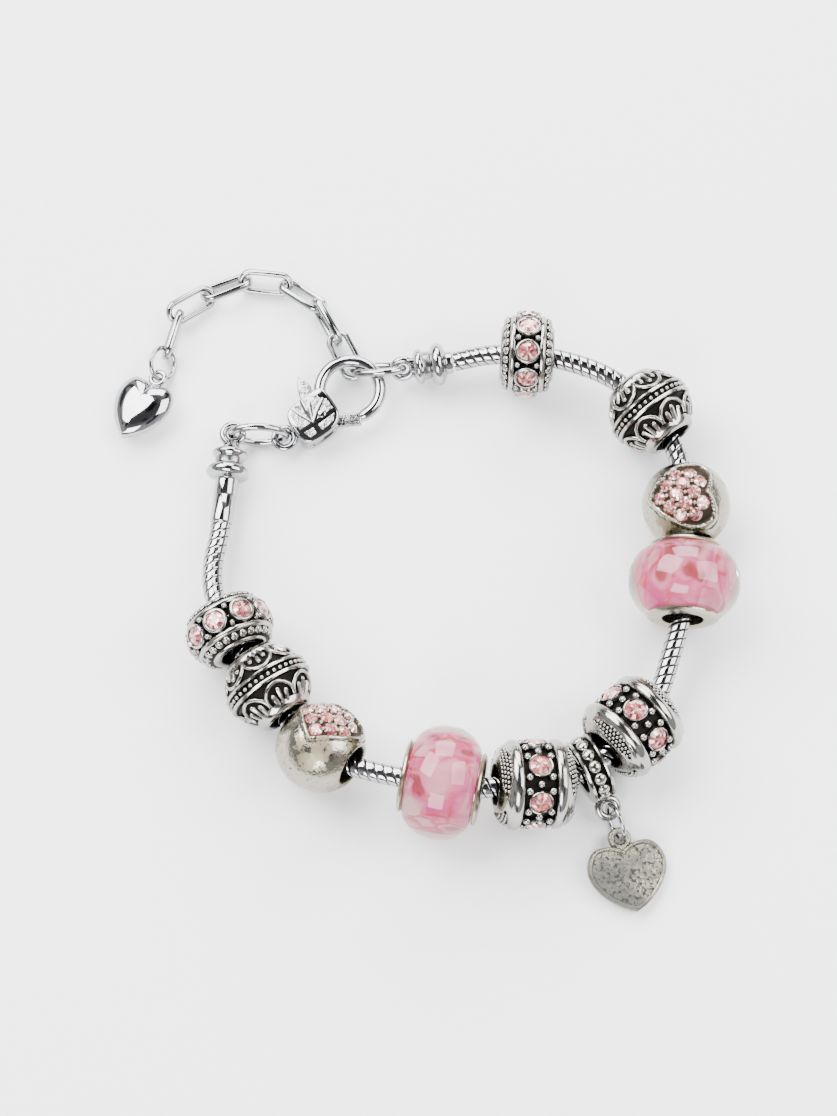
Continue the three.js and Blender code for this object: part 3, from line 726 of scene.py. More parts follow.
# %% Heart balls
BALL = 5.58
BALL_SKIN = 5.4
BALL_END = 57
BALL_WEAR = 0.22
NOTCH_AT = 3.05
BORDER, BORDER_HEIGHT = 0.24, 0.13
FLOOR_START, FLOOR_SLOPE, FLOOR_DEPTH = 0.12, 0.16, 0.42
SOOT_LINE_AT, SOOT_LINE_WIDTH = 0.32, 0.12
PAVE_COLUMNS = ((3.45, (0,)), (2.15, (-1.6, 1.6)), (0.85, (-3.1, 0, 3.1)), (-0.2, (-1.5, 1.5)),
                (-1.55, (-3.1, 0, 3.1)), (-2.75, (-1.55, 1.55)))
PAVE_STONES = [(along, across) for along, row in PAVE_COLUMNS for across in row]


def over_ball(along, across, height):
    """A place above the ball's top; along and across are measured over its skin."""
    return (seat(-degrees(along / BALL), 0, 0) @ Matrix.Rotation(across / BALL, 4, "Y")
            @ Matrix.Translation((0, 0, height)))


def apart(a, b):
    """The distance between two spots of the heart."""
    return hypot(a[0] - b[0], a[1] - b[1])


def heart_ball(side):
    """A heart ball with its sunk heart and grains, and the small stones as a second piece."""
    name = f"pave_heart_ball_{side}"
    latitudes = [BALL_END * (i / 44 - 1) for i in range(89)]
    skin = [(BALL * sin(radians(lat)), BALL * cos(radians(lat)), 0) for lat in latitudes]
    end = [(4.7, 2.85, 0), (4.72, 2.7, 0.3), (4.5, 2.5, 0.8)]
    bm = turn(both_ends(end)[:len(end)] + skin + end, 200)
    layer = bm.verts.layers.float["hollow"]
    for vert in bm.verts:
        if vert.co.length < BALL_SKIN:
            continue
        vert[layer] = BALL_WEAR
        if vert.co.z > 1.5:
            depth = inside_by(Vector((vert.co.y + NOTCH_AT, vert.co.x)), PAVE_HEART)
            border = max(0.0, 1 - (depth / BORDER) ** 2)
            sunk = held((depth - FLOOR_START) / FLOOR_SLOPE)
            sooty_line = 0.55 * max(0.0, 1 - abs(depth + SOOT_LINE_AT) / SOOT_LINE_WIDTH)
            vert.co *= (BALL + BORDER_HEIGHT * border - FLOOR_DEPTH * sunk) / BALL
            vert[layer] = min(1.0, BALL_WEAR + sunk + sooty_line)
    between = [((a[0] + b[0]) / 2, (a[1] + b[1]) / 2) for i, a in enumerate(PAVE_STONES)
               for b in PAVE_STONES[i + 1:] if 1.7 < apart(a, b) < 2.75]
    clear = [spot for spot in between if all(apart(spot, other) > 0.85 for other in PAVE_STONES)]
    join(bm, grain_bead(0.3), [over_ball(*spot, 5.3) for spot in clear])
    finish(f"{name}_casting", bm, strung(name), WARM, [name])
    set_stones(f"{name}_stones", strung(name), stone(0.88, 0.4, 0.3),
               [over_ball(*spot, 4.8) for spot in PAVE_STONES])


for side in SIDES:
    heart_ball(side)

# %% [markdown]
# ## The lampwork beads
# A glassmaker winds white and pink glass on a rod, presses coral-edged petals into it and gathers clear
# glass over all. The petals are drawn by two Voronoi patterns on the same cells: the first blends a pink
# or white from cell to cell and gives some cells a dark spotted heart, the second draws the coral edges,
# which a noise breaks. The noise also bends the cells, so that no border is straight. The clear glass is
# a touch yellow and a little smeared.

# %% Glass finishes
PETAL_SCALE = 430.0
PETAL_BEND = 0.0024
CORAL = (0.52, 0.015, 0.08)


def petal_finish():
    """Soft petals of white and pink, blended from cell to cell, with coral edges and dark spots."""
    material, tree, shader = node_material("petal_glass")
    where = add_node(tree, "ShaderNodeTexCoord").outputs["Object"]
    drift = noise(tree, Scale=300.0, Detail=3.0).outputs
    bent = add_node(tree, "ShaderNodeVectorMath", {"operation": "MULTIPLY_ADD"})
    connect(tree, bent.inputs[0], drift["Color"])
    bent.inputs[1].default_value = (PETAL_BEND, PETAL_BEND, PETAL_BEND)
    connect(tree, bent.inputs[2], where)
    cells = add_node(tree, "ShaderNodeTexVoronoi", {"feature": "SMOOTH_F1"}, Vector=bent.outputs[0],
                     Scale=PETAL_SCALE, Smoothness=0.9, Randomness=0.85).outputs
    edges = add_node(tree, "ShaderNodeTexVoronoi", {"feature": "DISTANCE_TO_EDGE"}, Vector=bent.outputs[0],
                     Scale=PETAL_SCALE, Randomness=0.85).outputs
    chance = add_node(tree, "ShaderNodeSeparateColor", Color=cells["Color"]).outputs
    petals = ramp(tree, chance["Red"], [(0.0, (0.68, 0.40, 0.48)), (0.3, (0.60, 0.14, 0.32)),
                                        (0.5, (0.55, 0.025, 0.22)), (0.68, (0.62, 0.21, 0.36)),
                                        (1.0, (0.48, 0.012, 0.16))])
    core = ramp(tree, cells["Distance"], [(0.0, (1, 1, 1)), (0.26, (0.9, 0.9, 0.9)), (0.44, (0, 0, 0))])
    spot = calculate(tree, "MULTIPLY", core, calculate(tree, "GREATER_THAN", chance["Green"], 0.5))
    heart = ramp(tree, spot, [(0.0, (0.55, 0.015, 0.16)), (0.7, (0.40, 0.004, 0.07)),
                              (1.0, (0.24, 0.006, 0.02))])
    line = remap(tree, edges["Distance"], (0.02, 0.13), (1, 0), "SMOOTHSTEP")
    broken = remap(tree, drift["Fac"], (0.45, 0.6), curve="SMOOTHSTEP")
    coloured = mix(tree, calculate(tree, "MULTIPLY", line, broken), mix(tree, spot, petals, heart), CORAL)
    feed(tree, shader, Base_Color=coloured, Roughness=0.5)
    return material


PETALS = petal_finish()
CLEAR, tree, shader = node_material("clear_glass")
smear = noise(tree, Scale=700.0, Detail=4.0).outputs["Fac"]
feed(tree, shader, Base_Color=(0.95, 0.91, 0.74), Transmission_Weight=1.0, IOR=1.5,
     Roughness=remap(tree, smear, wanted=(0.01, 0.06)))
print("petal finish nodes:", len(PETALS.node_tree.nodes))

# %% [markdown]
# The petals are a solid body inside the clear ring, so that the ring's curve magnifies them as the real
# one does. A metal tube with two flared caps lines the bore. It has the satin finish, because such caps
# are rubbed and not polished.

# %% Lampwork beads
GLASS_ROWS = [
    (0.5, 6.98, 0), (1.1, 6.92, 0), (1.8, 6.72, 0), (2.5, 6.4, 0), (3.1, 6.0, 0), (3.6, 5.5, 0),
    (4.0, 4.95, 0), (4.22, 4.45, 0), (4.25, 4.0, 0), (4.22, 3.45, 0),
]
PETAL_ROWS = [(1.2, 4.15, 0), (2.4, 4.05, 0), (3.4, 3.85, 0), (4.0, 3.65, 0), (4.05, 3.5, 0)]
FLARED_CAP_ROWS = [
    (4.3, 3.25, 0.2), (4.33, 4.2, 0.5), (4.42, 4.4, 0), (4.55, 4.5, 0), (4.72, 4.45, 0), (4.9, 4.1, 0),
    (5.0, 3.6, 0), (5.0, 2.8, 0), (4.9, 2.6, 0.45),
]


def glass_bead(side):
    """A lampwork bead: the clear ring, the petals in it, and the metal core."""
    name = f"glass_bead_{side}"
    bead = strung(name)
    finish(f"{name}_ring", turn(both_ends(GLASS_ROWS), 128), bead, CLEAR, [name], sharp=60)
    finish(f"{name}_petals", turn(both_ends(PETAL_ROWS), 96), bead, PETALS)
    finish(f"{name}_core_dressed", turn(both_ends(FLARED_CAP_ROWS), 72), bead, SATIN,
           [f"{name}_core"])


for side in SIDES:
    glass_bead(side)

# %% [markdown]
# ## The crystal barrels
# Seven large stones sit in their bezels in a channel between two broad polished bands, with quincunxes
# of grains between them. Beyond each band three lens-shaped fields are sunk, blackened and filled with
# fine grains in rows; between the fields the metal runs smoothly from the band to the end. The turned
# mesh is fine there, so that its own vertices can be lowered into the fields. The numbers say how far a
# field reaches round the barrel in degrees, where its middle lies along it, and how deep it is cut.

# %% Barrel fields
BARREL_STONES = 7
FIELDS = 3
FIELD_TO_FIELD = 360 / FIELDS
FIELD_REACH = 50
FIELD_MIDDLE, FIELD_HALF, FIELD_CUT = 4.1, 0.62, 0.06
FIELD_SLOPE = 0.1
GRAIN_MARGIN = 0.06
FIELD_GRAIN_STEP = 0.56
FIELD_GRAIN_ROWS = ((3.62, 4.86), (3.95, 4.62), (4.25, 4.27), (4.5, 3.85))
BARREL_ROWS = [
    (0, 4.6, 1), (1.9, 4.6, 1), (2.02, 5.0, 0.6), (2.1, 5.32, 0), (2.25, 5.44, 0), (2.5, 5.5, 0),
    (2.8, 5.5, 0), (3.1, 5.42, 0), (3.3, 5.27, 0), (3.42, 5.15, 0), (3.5, 5.08, 0), (3.6, 5.02, 0),
    (3.72, 4.94, 0), (3.84, 4.85, 0), (3.96, 4.74, 0), (4.08, 4.62, 0), (4.2, 4.48, 0), (4.32, 4.32, 0),
    (4.42, 4.14, 0), (4.52, 3.92, 0), (4.6, 3.7, 0), (4.7, 3.35, 0), (4.8, 3.1, 0), (4.8, 2.7, 0.2),
    (4.6, 2.5, 0.8),
]


def in_field(along, angle, middle):
    """How far a place on the barrel's end is inside one of its sunk fields; negative outside."""
    off = (angle - middle + FIELD_TO_FIELD / 2) % FIELD_TO_FIELD - FIELD_TO_FIELD / 2
    if abs(off) >= FIELD_REACH:
        return -1.0
    return FIELD_HALF * cos(off / FIELD_REACH * pi / 2) ** 0.8 - abs(abs(along) - FIELD_MIDDLE)


def sink_fields(bm, middle):
    """Lowers and blackens the fields, where the first one's middle is at the given angle."""
    layer = bm.verts.layers.float["hollow"]
    for vert in bm.verts:
        if 3.4 < abs(vert.co.x) < 4.75 and hypot(vert.co.y, vert.co.z) > 3.3:
            depth = in_field(vert.co.x, degrees(atan2(-vert.co.y, vert.co.z)), middle)
            sunk = held(depth / FIELD_SLOPE)
            vert.co.y *= 1 - FIELD_CUT * sunk
            vert.co.z *= 1 - FIELD_CUT * sunk
            vert[layer] = sunk


def field_grains(middle):
    """The seats of the fine grains, row by row; every second row is shifted by half a step."""
    grains = []
    for row, (along, height) in enumerate(FIELD_GRAIN_ROWS):
        pitch = degrees(FIELD_GRAIN_STEP / height)
        count = int(FIELD_REACH / pitch)
        for field in range(FIELDS):
            for j in range(-count, count + 1):
                angle = middle + FIELD_TO_FIELD * field + pitch * (j + 0.5 * (row % 2))
                if in_field(along, angle, middle) > GRAIN_MARGIN:
                    grains += [seat(angle, end * along, height) for end in (-1, 1)]
    return grains


print("fine grains on a barrel:", len(field_grains(0)))

# %% [markdown]
# With its fields sunk, the turned barrel gets its bezels, the larger grains between them and the fine
# grains of the fields. The stones are a second piece, because they are glass.

# %% Barrels
BEZEL_ROWS = [(4.2, 1.4, 1), (5.0, 1.5, 0.4), (5.3, 1.52, 0), (5.38, 1.46, 0), (5.32, 1.36, 0),
              (4.2, 1.33, 1)]
QUINCUNX = ((0, 0), (1.42, 10), (-1.42, 10), (1.42, -10), (-1.42, -10))


def barrel(side, middle):
    """A barrel whose first field lies at the given angle, and its seven stones as a second piece."""
    name = f"crystal_barrel_{side}"
    step = 360 / BARREL_STONES
    bm = turn(both_ends(BARREL_ROWS), 180)
    sink_fields(bm, middle)
    join(bm, turn(BEZEL_ROWS, 28, "Z"), seats(BARREL_STONES, 0, 0))
    join(bm, grain_bead(0.5), [seat(step * (i + 0.5) + turned, along, 4.98)
                               for i in range(BARREL_STONES) for along, turned in QUINCUNX])
    join(bm, grain_bead(0.23, 1, 8, 5), field_grains(middle))
    finish(f"{name}_casting", bm, strung(name), ANTIQUE, [name])
    places = [seat(step * i, 0, 4.4, spin=11 * i) for i in range(BARREL_STONES)]
    set_stones(f"{name}_stones", strung(name), stone(1.36, 0.75, 0.42), places)


barrel("left", -2)
barrel("right", 8)

# %% [markdown]
# ## The charm holder
# A narrow ring between two rims carries fourteen big flattened grains, and a loop of thick wire on its
# skin holds the heart charm's jump ring.

# %% Holder
HOLDER_GRAINS = 14
HOLDER_ROWS = [
    (0, 3.5, 1), (0.95, 3.5, 1), (1.0, 3.95, 0.3), (1.08, 4.12, 0), (1.22, 4.18, 0), (1.42, 4.08, 0),
    (1.5, 3.8, 0), (1.5, 2.8, 0.2), (1.4, 2.5, 0.8),
]
bm = turn(both_ends(HOLDER_ROWS), 72)
join(bm, grain_bead(0.84, 0.66, 14, 9), seats(HOLDER_GRAINS, 0, 3.72))
upright = Matrix.Translation((0, 0, 5.45)) @ Matrix.Rotation(pi / 2, 4, "X")
join(bm, ring_of_wire(1.2, 0.5, 32, 14), [upright])
foot = [(-0.75, 0, 3.85), (-0.4, 0, 4.05), (0.4, 0, 4.05), (0.75, 0, 3.85)]
join(bm, rod(foot, [0.3, 0.45, 0.45, 0.3], 12))
finish("charm_holder_casting", bm, strung("charm_holder"), ANTIQUE, ["charm_holder"])

# %% [markdown]
# ## The snake chain
# A snake chain is a tube of bowed plates linked so closely that only fine dark grooves show between them.
# Its line repeats the CAD's route: a smooth curve is drawn through the route's points, and a frame that
# turns no more than the bends need is carried along it.

# %% Chain
ROUTE = [
    (-25.09, 3.5, 2.93), (-25.35, 1.6, 3.05), (-25.9, -1.8, 3.5), (-25.8, -5.4, 4.2), (-24.8, -8.7, 4.8),
    (-22.7, -13.0, 5.1), (-20.5, -15.9, 5.1), (-17.1, -21.1, 5.0), (-14.6, -24.4, 5.1), (-9.4, -28.0, 5.3),
    (-5.0, -29.5, 5.8), (-0.3, -30.5, 6.2), (6.0, -31.5, 6.1), (10.7, -31.3, 5.95), (17.1, -30.6, 5.1),
    (21.1, -28.7, 4.95), (25.2, -24.9, 5.25), (29.0, -20.8, 5.35), (31.2, -14.9, 5.8), (32.9, -8.5, 6.2),
    (33.6, -2.2, 6.1), (34.0, 2.2, 5.6), (33.5, 8.2, 5.0), (32.9, 12.0, 5.0), (31.3, 15.6, 5.0),
    (27.8, 20.2, 5.0), (23.4, 23.3, 5.1), (16.6, 25.5, 5.1), (11.6, 26.0, 4.85), (8.2, 26.0, 4.2),
    (4.65, 25.47, 3.54),
]
LINE_STEP = 0.05
PLATE = 1.17


def smooth_line(points):
    """Points close together on the centripetal curve through the given ones."""
    known = [Vector(point) for point in points]
    known = [2 * known[0] - known[1]] + known + [2 * known[-1] - known[-2]]
    line = []
    for a, b, c, d in zip(known, known[1:], known[2:], known[3:]):
        spans = ((a, b), (b, c), (c, d))
        knots = [0.0]
        for start, end in spans:
            knots.append(knots[-1] + sqrt((end - start).length))
        count = max(2, round((c - b).length / LINE_STEP))
        for i in range(count):
            t = knots[1] + (knots[2] - knots[1]) * i / count
            first = [start.lerp(end, (t - knots[k]) / (knots[k + 1] - knots[k]))
                     for k, (start, end) in enumerate(spans)]
            second = [first[k].lerp(first[k + 1], (t - knots[k]) / (knots[k + 2] - knots[k]))
                      for k in (0, 1)]
            line.append(second[0].lerp(second[1], (t - knots[1]) / (knots[2] - knots[1])))
    return line + [known[-2]]


line = smooth_line(ROUTE)
lengths = [0.0]
for start, end in zip(line, line[1:]):
    lengths.append(lengths[-1] + (end - start).length)
CHAIN_LENGTH = lengths[-1]
frames = []
turned = (line[1] - line[0]).to_track_quat("Z", "X")
for i, point in enumerate(line):
    ahead = (line[min(i + 1, len(line) - 1)] - line[max(i - 1, 0)]).normalized()
    turned = (turned @ Vector((0, 0, 1))).rotation_difference(ahead) @ turned
    frames.append(turned.copy())
print("chain length in mm:", round(CHAIN_LENGTH, 1), "plates:", round(CHAIN_LENGTH / PLATE))

# %% [markdown]
# The plates wind round the chain in three starts, 1.17 mm apart, so that the grooves slant. All of them
# are made from one grid: its rows are wrapped round the line with that slant, so that the end of a row
# meets the start of a later one. A vertex between two plates lies a little lower and is painted black,
# which is painted shade in the groove.

# %% Wrap the plates
CHAIN_RADIUS = 1.275
GROOVE_DEPTH = 0.055
STARTS = 3
SIDES_OF_CHAIN = 30
ROWS_TO_A_PLATE = 8
row_step = PLATE / ROWS_TO_A_PLATE
slant = STARTS * ROWS_TO_A_PLATE
rows = round(CHAIN_LENGTH / row_step) + slant
bm = new_piece()
layer = bm.verts.layers.float["hollow"]
bmesh.ops.create_grid(bm, x_segments=rows, y_segments=SIDES_OF_CHAIN, size=0.5)
for vert in bm.verts:
    row = (vert.co.x + 0.5) * rows - slant
    share = vert.co.y + 0.5
    along = held((row + slant * share) * row_step, 0.0, CHAIN_LENGTH)
    place_in_plate = 2 * ((row % ROWS_TO_A_PLATE) / ROWS_TO_A_PLATE) - 1
    i = min(len(line) - 2, int(along / CHAIN_LENGTH * (len(line) - 1)))
    while lengths[i] > along and i > 0:
        i -= 1
    while lengths[i + 1] < along and i < len(line) - 2:
        i += 1
    between = (along - lengths[i]) / (lengths[i + 1] - lengths[i])
    angle = 2 * pi * share
    radius = CHAIN_RADIUS * (1 - GROOVE_DEPTH * abs(place_in_plate) ** 8)
    out = frames[i].slerp(frames[i + 1], between) @ Vector((cos(angle), sin(angle), 0))
    # painted shade: the vertices in the groove between two plates are coloured black
    vert[layer] = abs(place_in_plate) ** 7
    vert.co = line[i].lerp(line[i + 1], between) + radius * out
bmesh.ops.remove_doubles(bm, verts=bm.verts, dist=0.002)
bmesh.ops.holes_fill(bm, edges=[edge for edge in bm.edges if edge.is_boundary])
finish("snake_chain_plates", bm, placed(0, 0, 0), BRIGHT, ["snake_chain"])

# %% [markdown]
# ## End caps
# A turned cap grips each end of the chain: a sleeve, two rounded flanges with a waist between them, and a
# fat eye. The left sleeve is long, with a fine seam. The rows are the CAD's, with rounded shoulders.

# %% Caps
FLANGE_ROWS = [
    (-3.5, 1.15, 0), (-3.15, 1.5, 0.3), (-3.1, 1.75, 0.1), (-2.9, 2.1, 0), (-2.65, 2.28, 0),
    (-2.4, 2.32, 0), (-2.15, 2.2, 0), (-1.95, 1.9, 0.3), (-1.8, 1.8, 0.5), (-1.1, 1.8, 0.5),
    (-0.95, 2.0, 0.2), (-0.75, 2.35, 0), (-0.45, 2.64, 0), (-0.1, 2.76, 0), (0.2, 2.75, 0),
    (0.48, 2.6, 0), (0.72, 2.3, 0), (0.88, 1.9, 0.1), (0.98, 1.55, 0.6), (1.1, 1.46, 0.2),
]
SEAM_ROWS = [(8.5, 1.43, 0), (8.57, 1.38, 0.7), (8.64, 1.43, 0)]


def end_cap(side, reach, sleeve, seam, place):
    """A cap from its eye to its mouth: reach is where its flanges lie, sleeve where it ends."""
    rows = [(1.0, 0, 0), (1.0, 0.75, 0)]
    rows += [(along + reach, radius, dark) for along, radius, dark in FLANGE_ROWS]
    rows += [(reach + 1.3, 1.44, 0)] + seam
    rows += [(sleeve - 0.25, 1.42, 0), (sleeve - 0.08, 1.38, 0), (sleeve, 1.3, 0.2), (sleeve, 0, 0.5)]
    bm = turn(rows, 56, closed=False)
    join(bm, ring_of_wire(1.25, 0.5, 40, 16))
    finish(f"end_cap_{side}_dressed", bm, place, BRIGHT, [f"end_cap_{side}"])


end_cap("left", 5.3, 12.2, SEAM_ROWS, placed(-23.8, 15.75, 2.9, -96))
end_cap("right", 4.6, 6.5, [], placed(-2.0, 24.76, 2.95, 6, 5, 46))

# %% [markdown]
# ## Rings and links
# A jump ring is a turn of round wire. An oval ring is that ring drawn out, and an extender link is two
# half rings with straight sides between them, of wire that is taller than wide. Each is turned round and
# its vertices are moved apart, so that the wire keeps its thickness. The rows repeat the CAD's places.

# %% Links
def drawn_out(bm, radius, long, straight):
    """Draws a round ring out to an ellipse, or parts its halves by straight sides."""
    for vert in bm.verts:
        x, y = vert.co.x, vert.co.y
        angle, out = atan2(y, x), hypot(x, y) - radius
        away = Vector((radius * cos(angle), long * sin(angle))).normalized() * out
        if long > radius:
            vert.co.x, vert.co.y = long * cos(angle) + away.x, radius * sin(angle) + away.y
        vert.co.x += straight * held(x / 0.02, -1.0)
    return bm


def oval_ring():
    """The ring that joins a cap to the clasp."""
    return drawn_out(ring_of_wire(2.3, 0.5, 72, 18), 2.3, 3.5, 0)


def extender_link():
    """One oblong link of the extender."""
    return drawn_out(ring_of_wire(1.3, 0.4, 40, 16, 1.3), 1.3, 1.3, 1.95)


def heart_ring():
    """The small ring of the puffed heart."""
    return ring_of_wire(2.1, 0.3, 56, 14)


def charm_ring():
    """The jump ring of the flat heart."""
    return ring_of_wire(2.25, 0.3, 56, 14)


LINKS = [
    ("clasp_link", oval_ring, -20.48, 15.67, 2.9, 0, -10.5, 84.5),
    ("connector_link", oval_ring, -5.38, 24.76, 2.61, -6, 19, -56.5),
    ("extender_link_1", extender_link, -31.97, 29.97, 1.9, 75, -1, 105),
    ("extender_link_2", extender_link, -29.69, 34.08, 1.95, 34, -7, 33),
    ("extender_link_3", extender_link, -25.15, 36.68, 1.5, 23, -1, -38.5),
    ("extender_link_4", extender_link, -20.0, 37.34, 1.7, -6.5, 0, 41.5),
    ("extender_link_5", extender_link, -15.14, 35.54, 1.58, -35.5, 4, -36),
    ("extender_link_6", extender_link, -11.92, 31.61, 1.97, -61, -3.8, 82),
    ("extender_link_7", extender_link, -9.45, 27.09, 1.62, -63, -5.6, 16.5),
    ("heart_ring", heart_ring, -33.15, 25.82, 1.94, 75.1, 3.4, 52.1),
    ("charm_ring", charm_ring, 24.25, -34.96, 2.5, -66.8, 8.1, 80.6),
]
for name, make, *row in LINKS:
    finish(f"{name}_wire", make(), placed(*row), BRIGHT, [name])

# %% [markdown]
# ## The lobster clasp
# The clasp is a casting: an eye, a body slotted for the lever, and a hook. The body is built as two
# cheeks with a filling between them where the slot isn't. A cheek is an outline filled, extruded and
# bevelled. The outlines are drawn with short curves between the clasp's own corners.

# %% Plates and curves
def draw_loop(bm, outline, height):
    """Draws a closed outline at a height and gives its edges."""
    corners = [bm.verts.new((x, y, height)) for x, y in outline]
    return [bm.edges.new(pair) for pair in zip(corners, corners[1:] + corners[:1])]


def plate(outline, bottom, top, bevel=0, segments=3):
    """A plate of the given outline between two heights, with rounded edges if a bevel is given."""
    bm = new_piece()
    bmesh.ops.contextual_create(bm, geom=draw_loop(bm, outline, bottom))
    lifted = bmesh.ops.extrude_face_region(bm, geom=list(bm.faces), use_keep_orig=True)["geom"]
    bmesh.ops.translate(bm, vec=(0, 0, top - bottom), verts=only_verts(lifted))
    bmesh.ops.recalc_face_normals(bm, faces=bm.faces)
    if bevel:
        rims = [edge for edge in bm.edges if abs(edge.verts[0].co.z - edge.verts[1].co.z) < 1e-6]
        bmesh.ops.bevel(bm, geom=rims, offset=bevel, segments=segments, profile=0.5, affect="EDGES",
                        material=-1, clamp_overlap=True)
    return bm


def curve(start, bend, end, steps=6):
    """Points of a quadratic curve, without its last."""
    points = []
    for i in range(steps):
        t = i / steps
        points.append(tuple((1 - t) ** 2 * a + 2 * t * (1 - t) * b + t * t * c
                            for a, b, c in zip(start, bend, end)))
    return points


def polar(centre, radius, angle):
    """A point of an arc round a centre."""
    return centre[0] + radius * cos(radians(angle)), centre[1] + radius * sin(radians(angle))


CLASP_PLACE = placed(-17.2, 15.5, 2.05, 34.5, 4.5, 3)
CHEEK = (curve((1.4, -1.2), (1.6, -2.9), (3.0, -3.0)) + [(3.8, -3.02), (4.5, -3.02)]
         + curve((5.2, -3.0), (7.6, -2.6), (7.7, -0.8)) + curve((7.7, -0.8), (7.78, 0.4), (7.7, 1.6), 3)
         + curve((7.7, 1.6), (7.6, 2.8), (6.6, 2.75)) + curve((6.6, 2.75), (4.8, 2.72), (3.0, 2.6), 3)
         + curve((3.0, 2.6), (1.7, 2.4), (1.4, 0.9)) + [(1.4, 0.9)])
FILLING = [(1.5, -1.2), (1.9, -2.5), (3.0, -2.85), (4.15, -2.85), (3.6, -0.5), (2.4, 2.3), (1.8, 1.7),
           (1.5, 0.9)]
HEEL = [(6.8, 1.25), (7.62, 0.98), (7.62, 1.7), (7.3, 2.5), (6.8, 2.62)]
print("corners of a cheek:", len(CHEEK))

# %% [markdown]
# The hook is a rod bent round an arc, thinner at its tip. The eye is a ring of wire, and the lever's pin
# is turned with two domed heads. On each cheek four ribs spread from one root, as in a leaf, and two
# black seams part the leaf from the two fields below it: thin rods painted black, as painted shade in
# the grooves there.

# %% Clasp body
HOOK_CENTRE, HOOK_RADIUS, HOOK_WIRE = (10.5, 0.5), 3.9, 0.8
PIN = (5.6, -0.5)
PIN_ROWS = [(-1.85, 0, 0), (-1.85, 0.4, 0), (-1.75, 0.55, 0), (-1.6, 0.6, 0.6), (1.6, 0.6, 0.6),
            (1.75, 0.55, 0), (1.85, 0.4, 0), (1.85, 0, 0)]
SLOT_HALF, BODY_HALF, FILLED_HALF = 0.72, 1.7, 0.8
LEAF_ROOT = (3.95, -0.75)
LEAF_TIPS = ((2.7, 2.25), (4.3, 2.55), (5.5, 2.5), (6.85, 1.2))
DARK_SEAMS = (((2.1, -0.95), (4.4, -1.05), (7.35, -0.95)), ((4.1, -1.0), (4.0, -1.6), (3.95, -2.5)))


def relief(points, height, ends, middle):
    """A thin rod that lies half sunk in a cheek, drawn through three points of it."""
    return rod([(x, y, height) for x, y in points], [ends, middle, ends], 8)


bm = plate(CHEEK, SLOT_HALF, BODY_HALF, 0.32)
join(bm, plate(CHEEK, -BODY_HALF, -SLOT_HALF, 0.32))
for outline in (FILLING, HEEL):
    join(bm, plate(outline, -FILLED_HALF, FILLED_HALF))
hook = [(*polar(HOOK_CENTRE, HOOK_RADIUS, angle), 0) for angle in range(-106, 165, 6)]
join(bm, rod(hook, [0.5, 0.72] + [HOOK_WIRE] * (len(hook) - 2), 20))
join(bm, ring_of_wire(1.3, 0.5, 40, 16))
join(bm, turn(PIN_ROWS, 24, "Z", False), [Matrix.Translation((*PIN, 0))])
for face in (-1, 1):
    for tip in LEAF_TIPS:
        middle = [(a + b) / 2 + bow for a, b, bow in zip(LEAF_ROOT, tip, (-0.12, 0.12))]
        join(bm, relief((LEAF_ROOT, middle, tip), face * 1.72, 0.13, 0.2))
    for points in DARK_SEAMS:
        seam = relief(points, face * 1.63, 0.12, 0.16)
        # painted shade: each seam rod is coloured fully black where the casting has a groove
        darken(seam, 1)
        join(bm, seam)
finish("clasp_casting", bm, CLASP_PLACE, BRIGHT, ["clasp_body"])

# %% [markdown]
# Between the ribs and in the fields below them the metal is stippled with fine dark points. That ground
# is a thin bevelled panel for each part, on both cheeks, with the stippled finish.

# %% Leaf panels
LEAF_PANELS = (
    ((2.1, -0.7), (3.7, -0.7), (2.6, 1.9), (2.1, 1.6)),
    ((3.9, -0.4), (4.1, 2.3), (3.0, 2.3), (2.9, 2.0)),
    ((4.1, -0.4), (5.3, 2.35), (4.5, 2.4)),
    ((4.3, -0.5), (6.6, 1.15), (6.4, 2.3), (5.7, 2.3)),
    ((4.6, -0.75), (7.2, -0.65), (7.2, 0.9), (6.9, 0.95)),
    ((2.3, -1.3), (3.7, -1.35), (3.6, -2.3), (2.6, -2.3)),
    ((4.4, -1.4), (7.0, -1.3), (6.3, -2.15), (4.4, -2.35)),
)
bm = new_piece()
for face in (-1, 1):
    for panel in LEAF_PANELS:
        join(bm, plate(panel, 1.66, 1.75, 0.03, 1), [Matrix.Diagonal((1, 1, face, 1))])
darken(bm, 0.27)
finish("clasp_leaf_panels", bm, CLASP_PLACE, STIPPLED, sharp=30)

# %% [markdown]
# The lever is one plate: a thumb piece above the body and the gate that closes the hook below. It turns
# on the pin, so it rides on its own body and keeps clear of the slot's walls all the way. Its plating is
# worn, so it has the flecked finish.

# %% Clasp lever
LEVER_HALF = 0.53
GATE_REACH = 5.08
LEVER = ([(6.0, 5.7), (5.45, 5.15), (5.0, 4.45), (4.7, 3.7), (4.55, 3.0), (4.47, 2.0), (4.45, 1.0),
          (4.45, -0.2), (4.52, -1.0), (4.72, -1.55), (5.15, -2.02), (6.4, -2.78)]
         + [polar(PIN, GATE_REACH, angle) for angle in range(-47, -26, 3)]
         + [(7.5, -1.42), (7.22, -0.75), (7.05, -0.2), (6.78, 0.12), (6.5, 0.5), (6.42, 1.4), (6.42, 2.4),
            (6.52, 3.3), (6.62, 3.85), (6.4, 4.9)])
gate = plate(LEVER, -LEVER_HALF, LEVER_HALF, 0.26)
darken(gate, 0.2)
finish("clasp_gate", gate, CLASP_PLACE, FLECKED, ["clasp_lever"], body="lever")

# %% [markdown]
# ## The heart charms
# The puffed heart is stamped from two shells: its outline swells to a cushion. Here the outline is
# extruded in rounds that shrink towards a middle as they rise, and the half is copied downwards.

# %% Puffed heart
CUSHION_ROUNDS = 9
PUFFED_LENGTH = 7.5


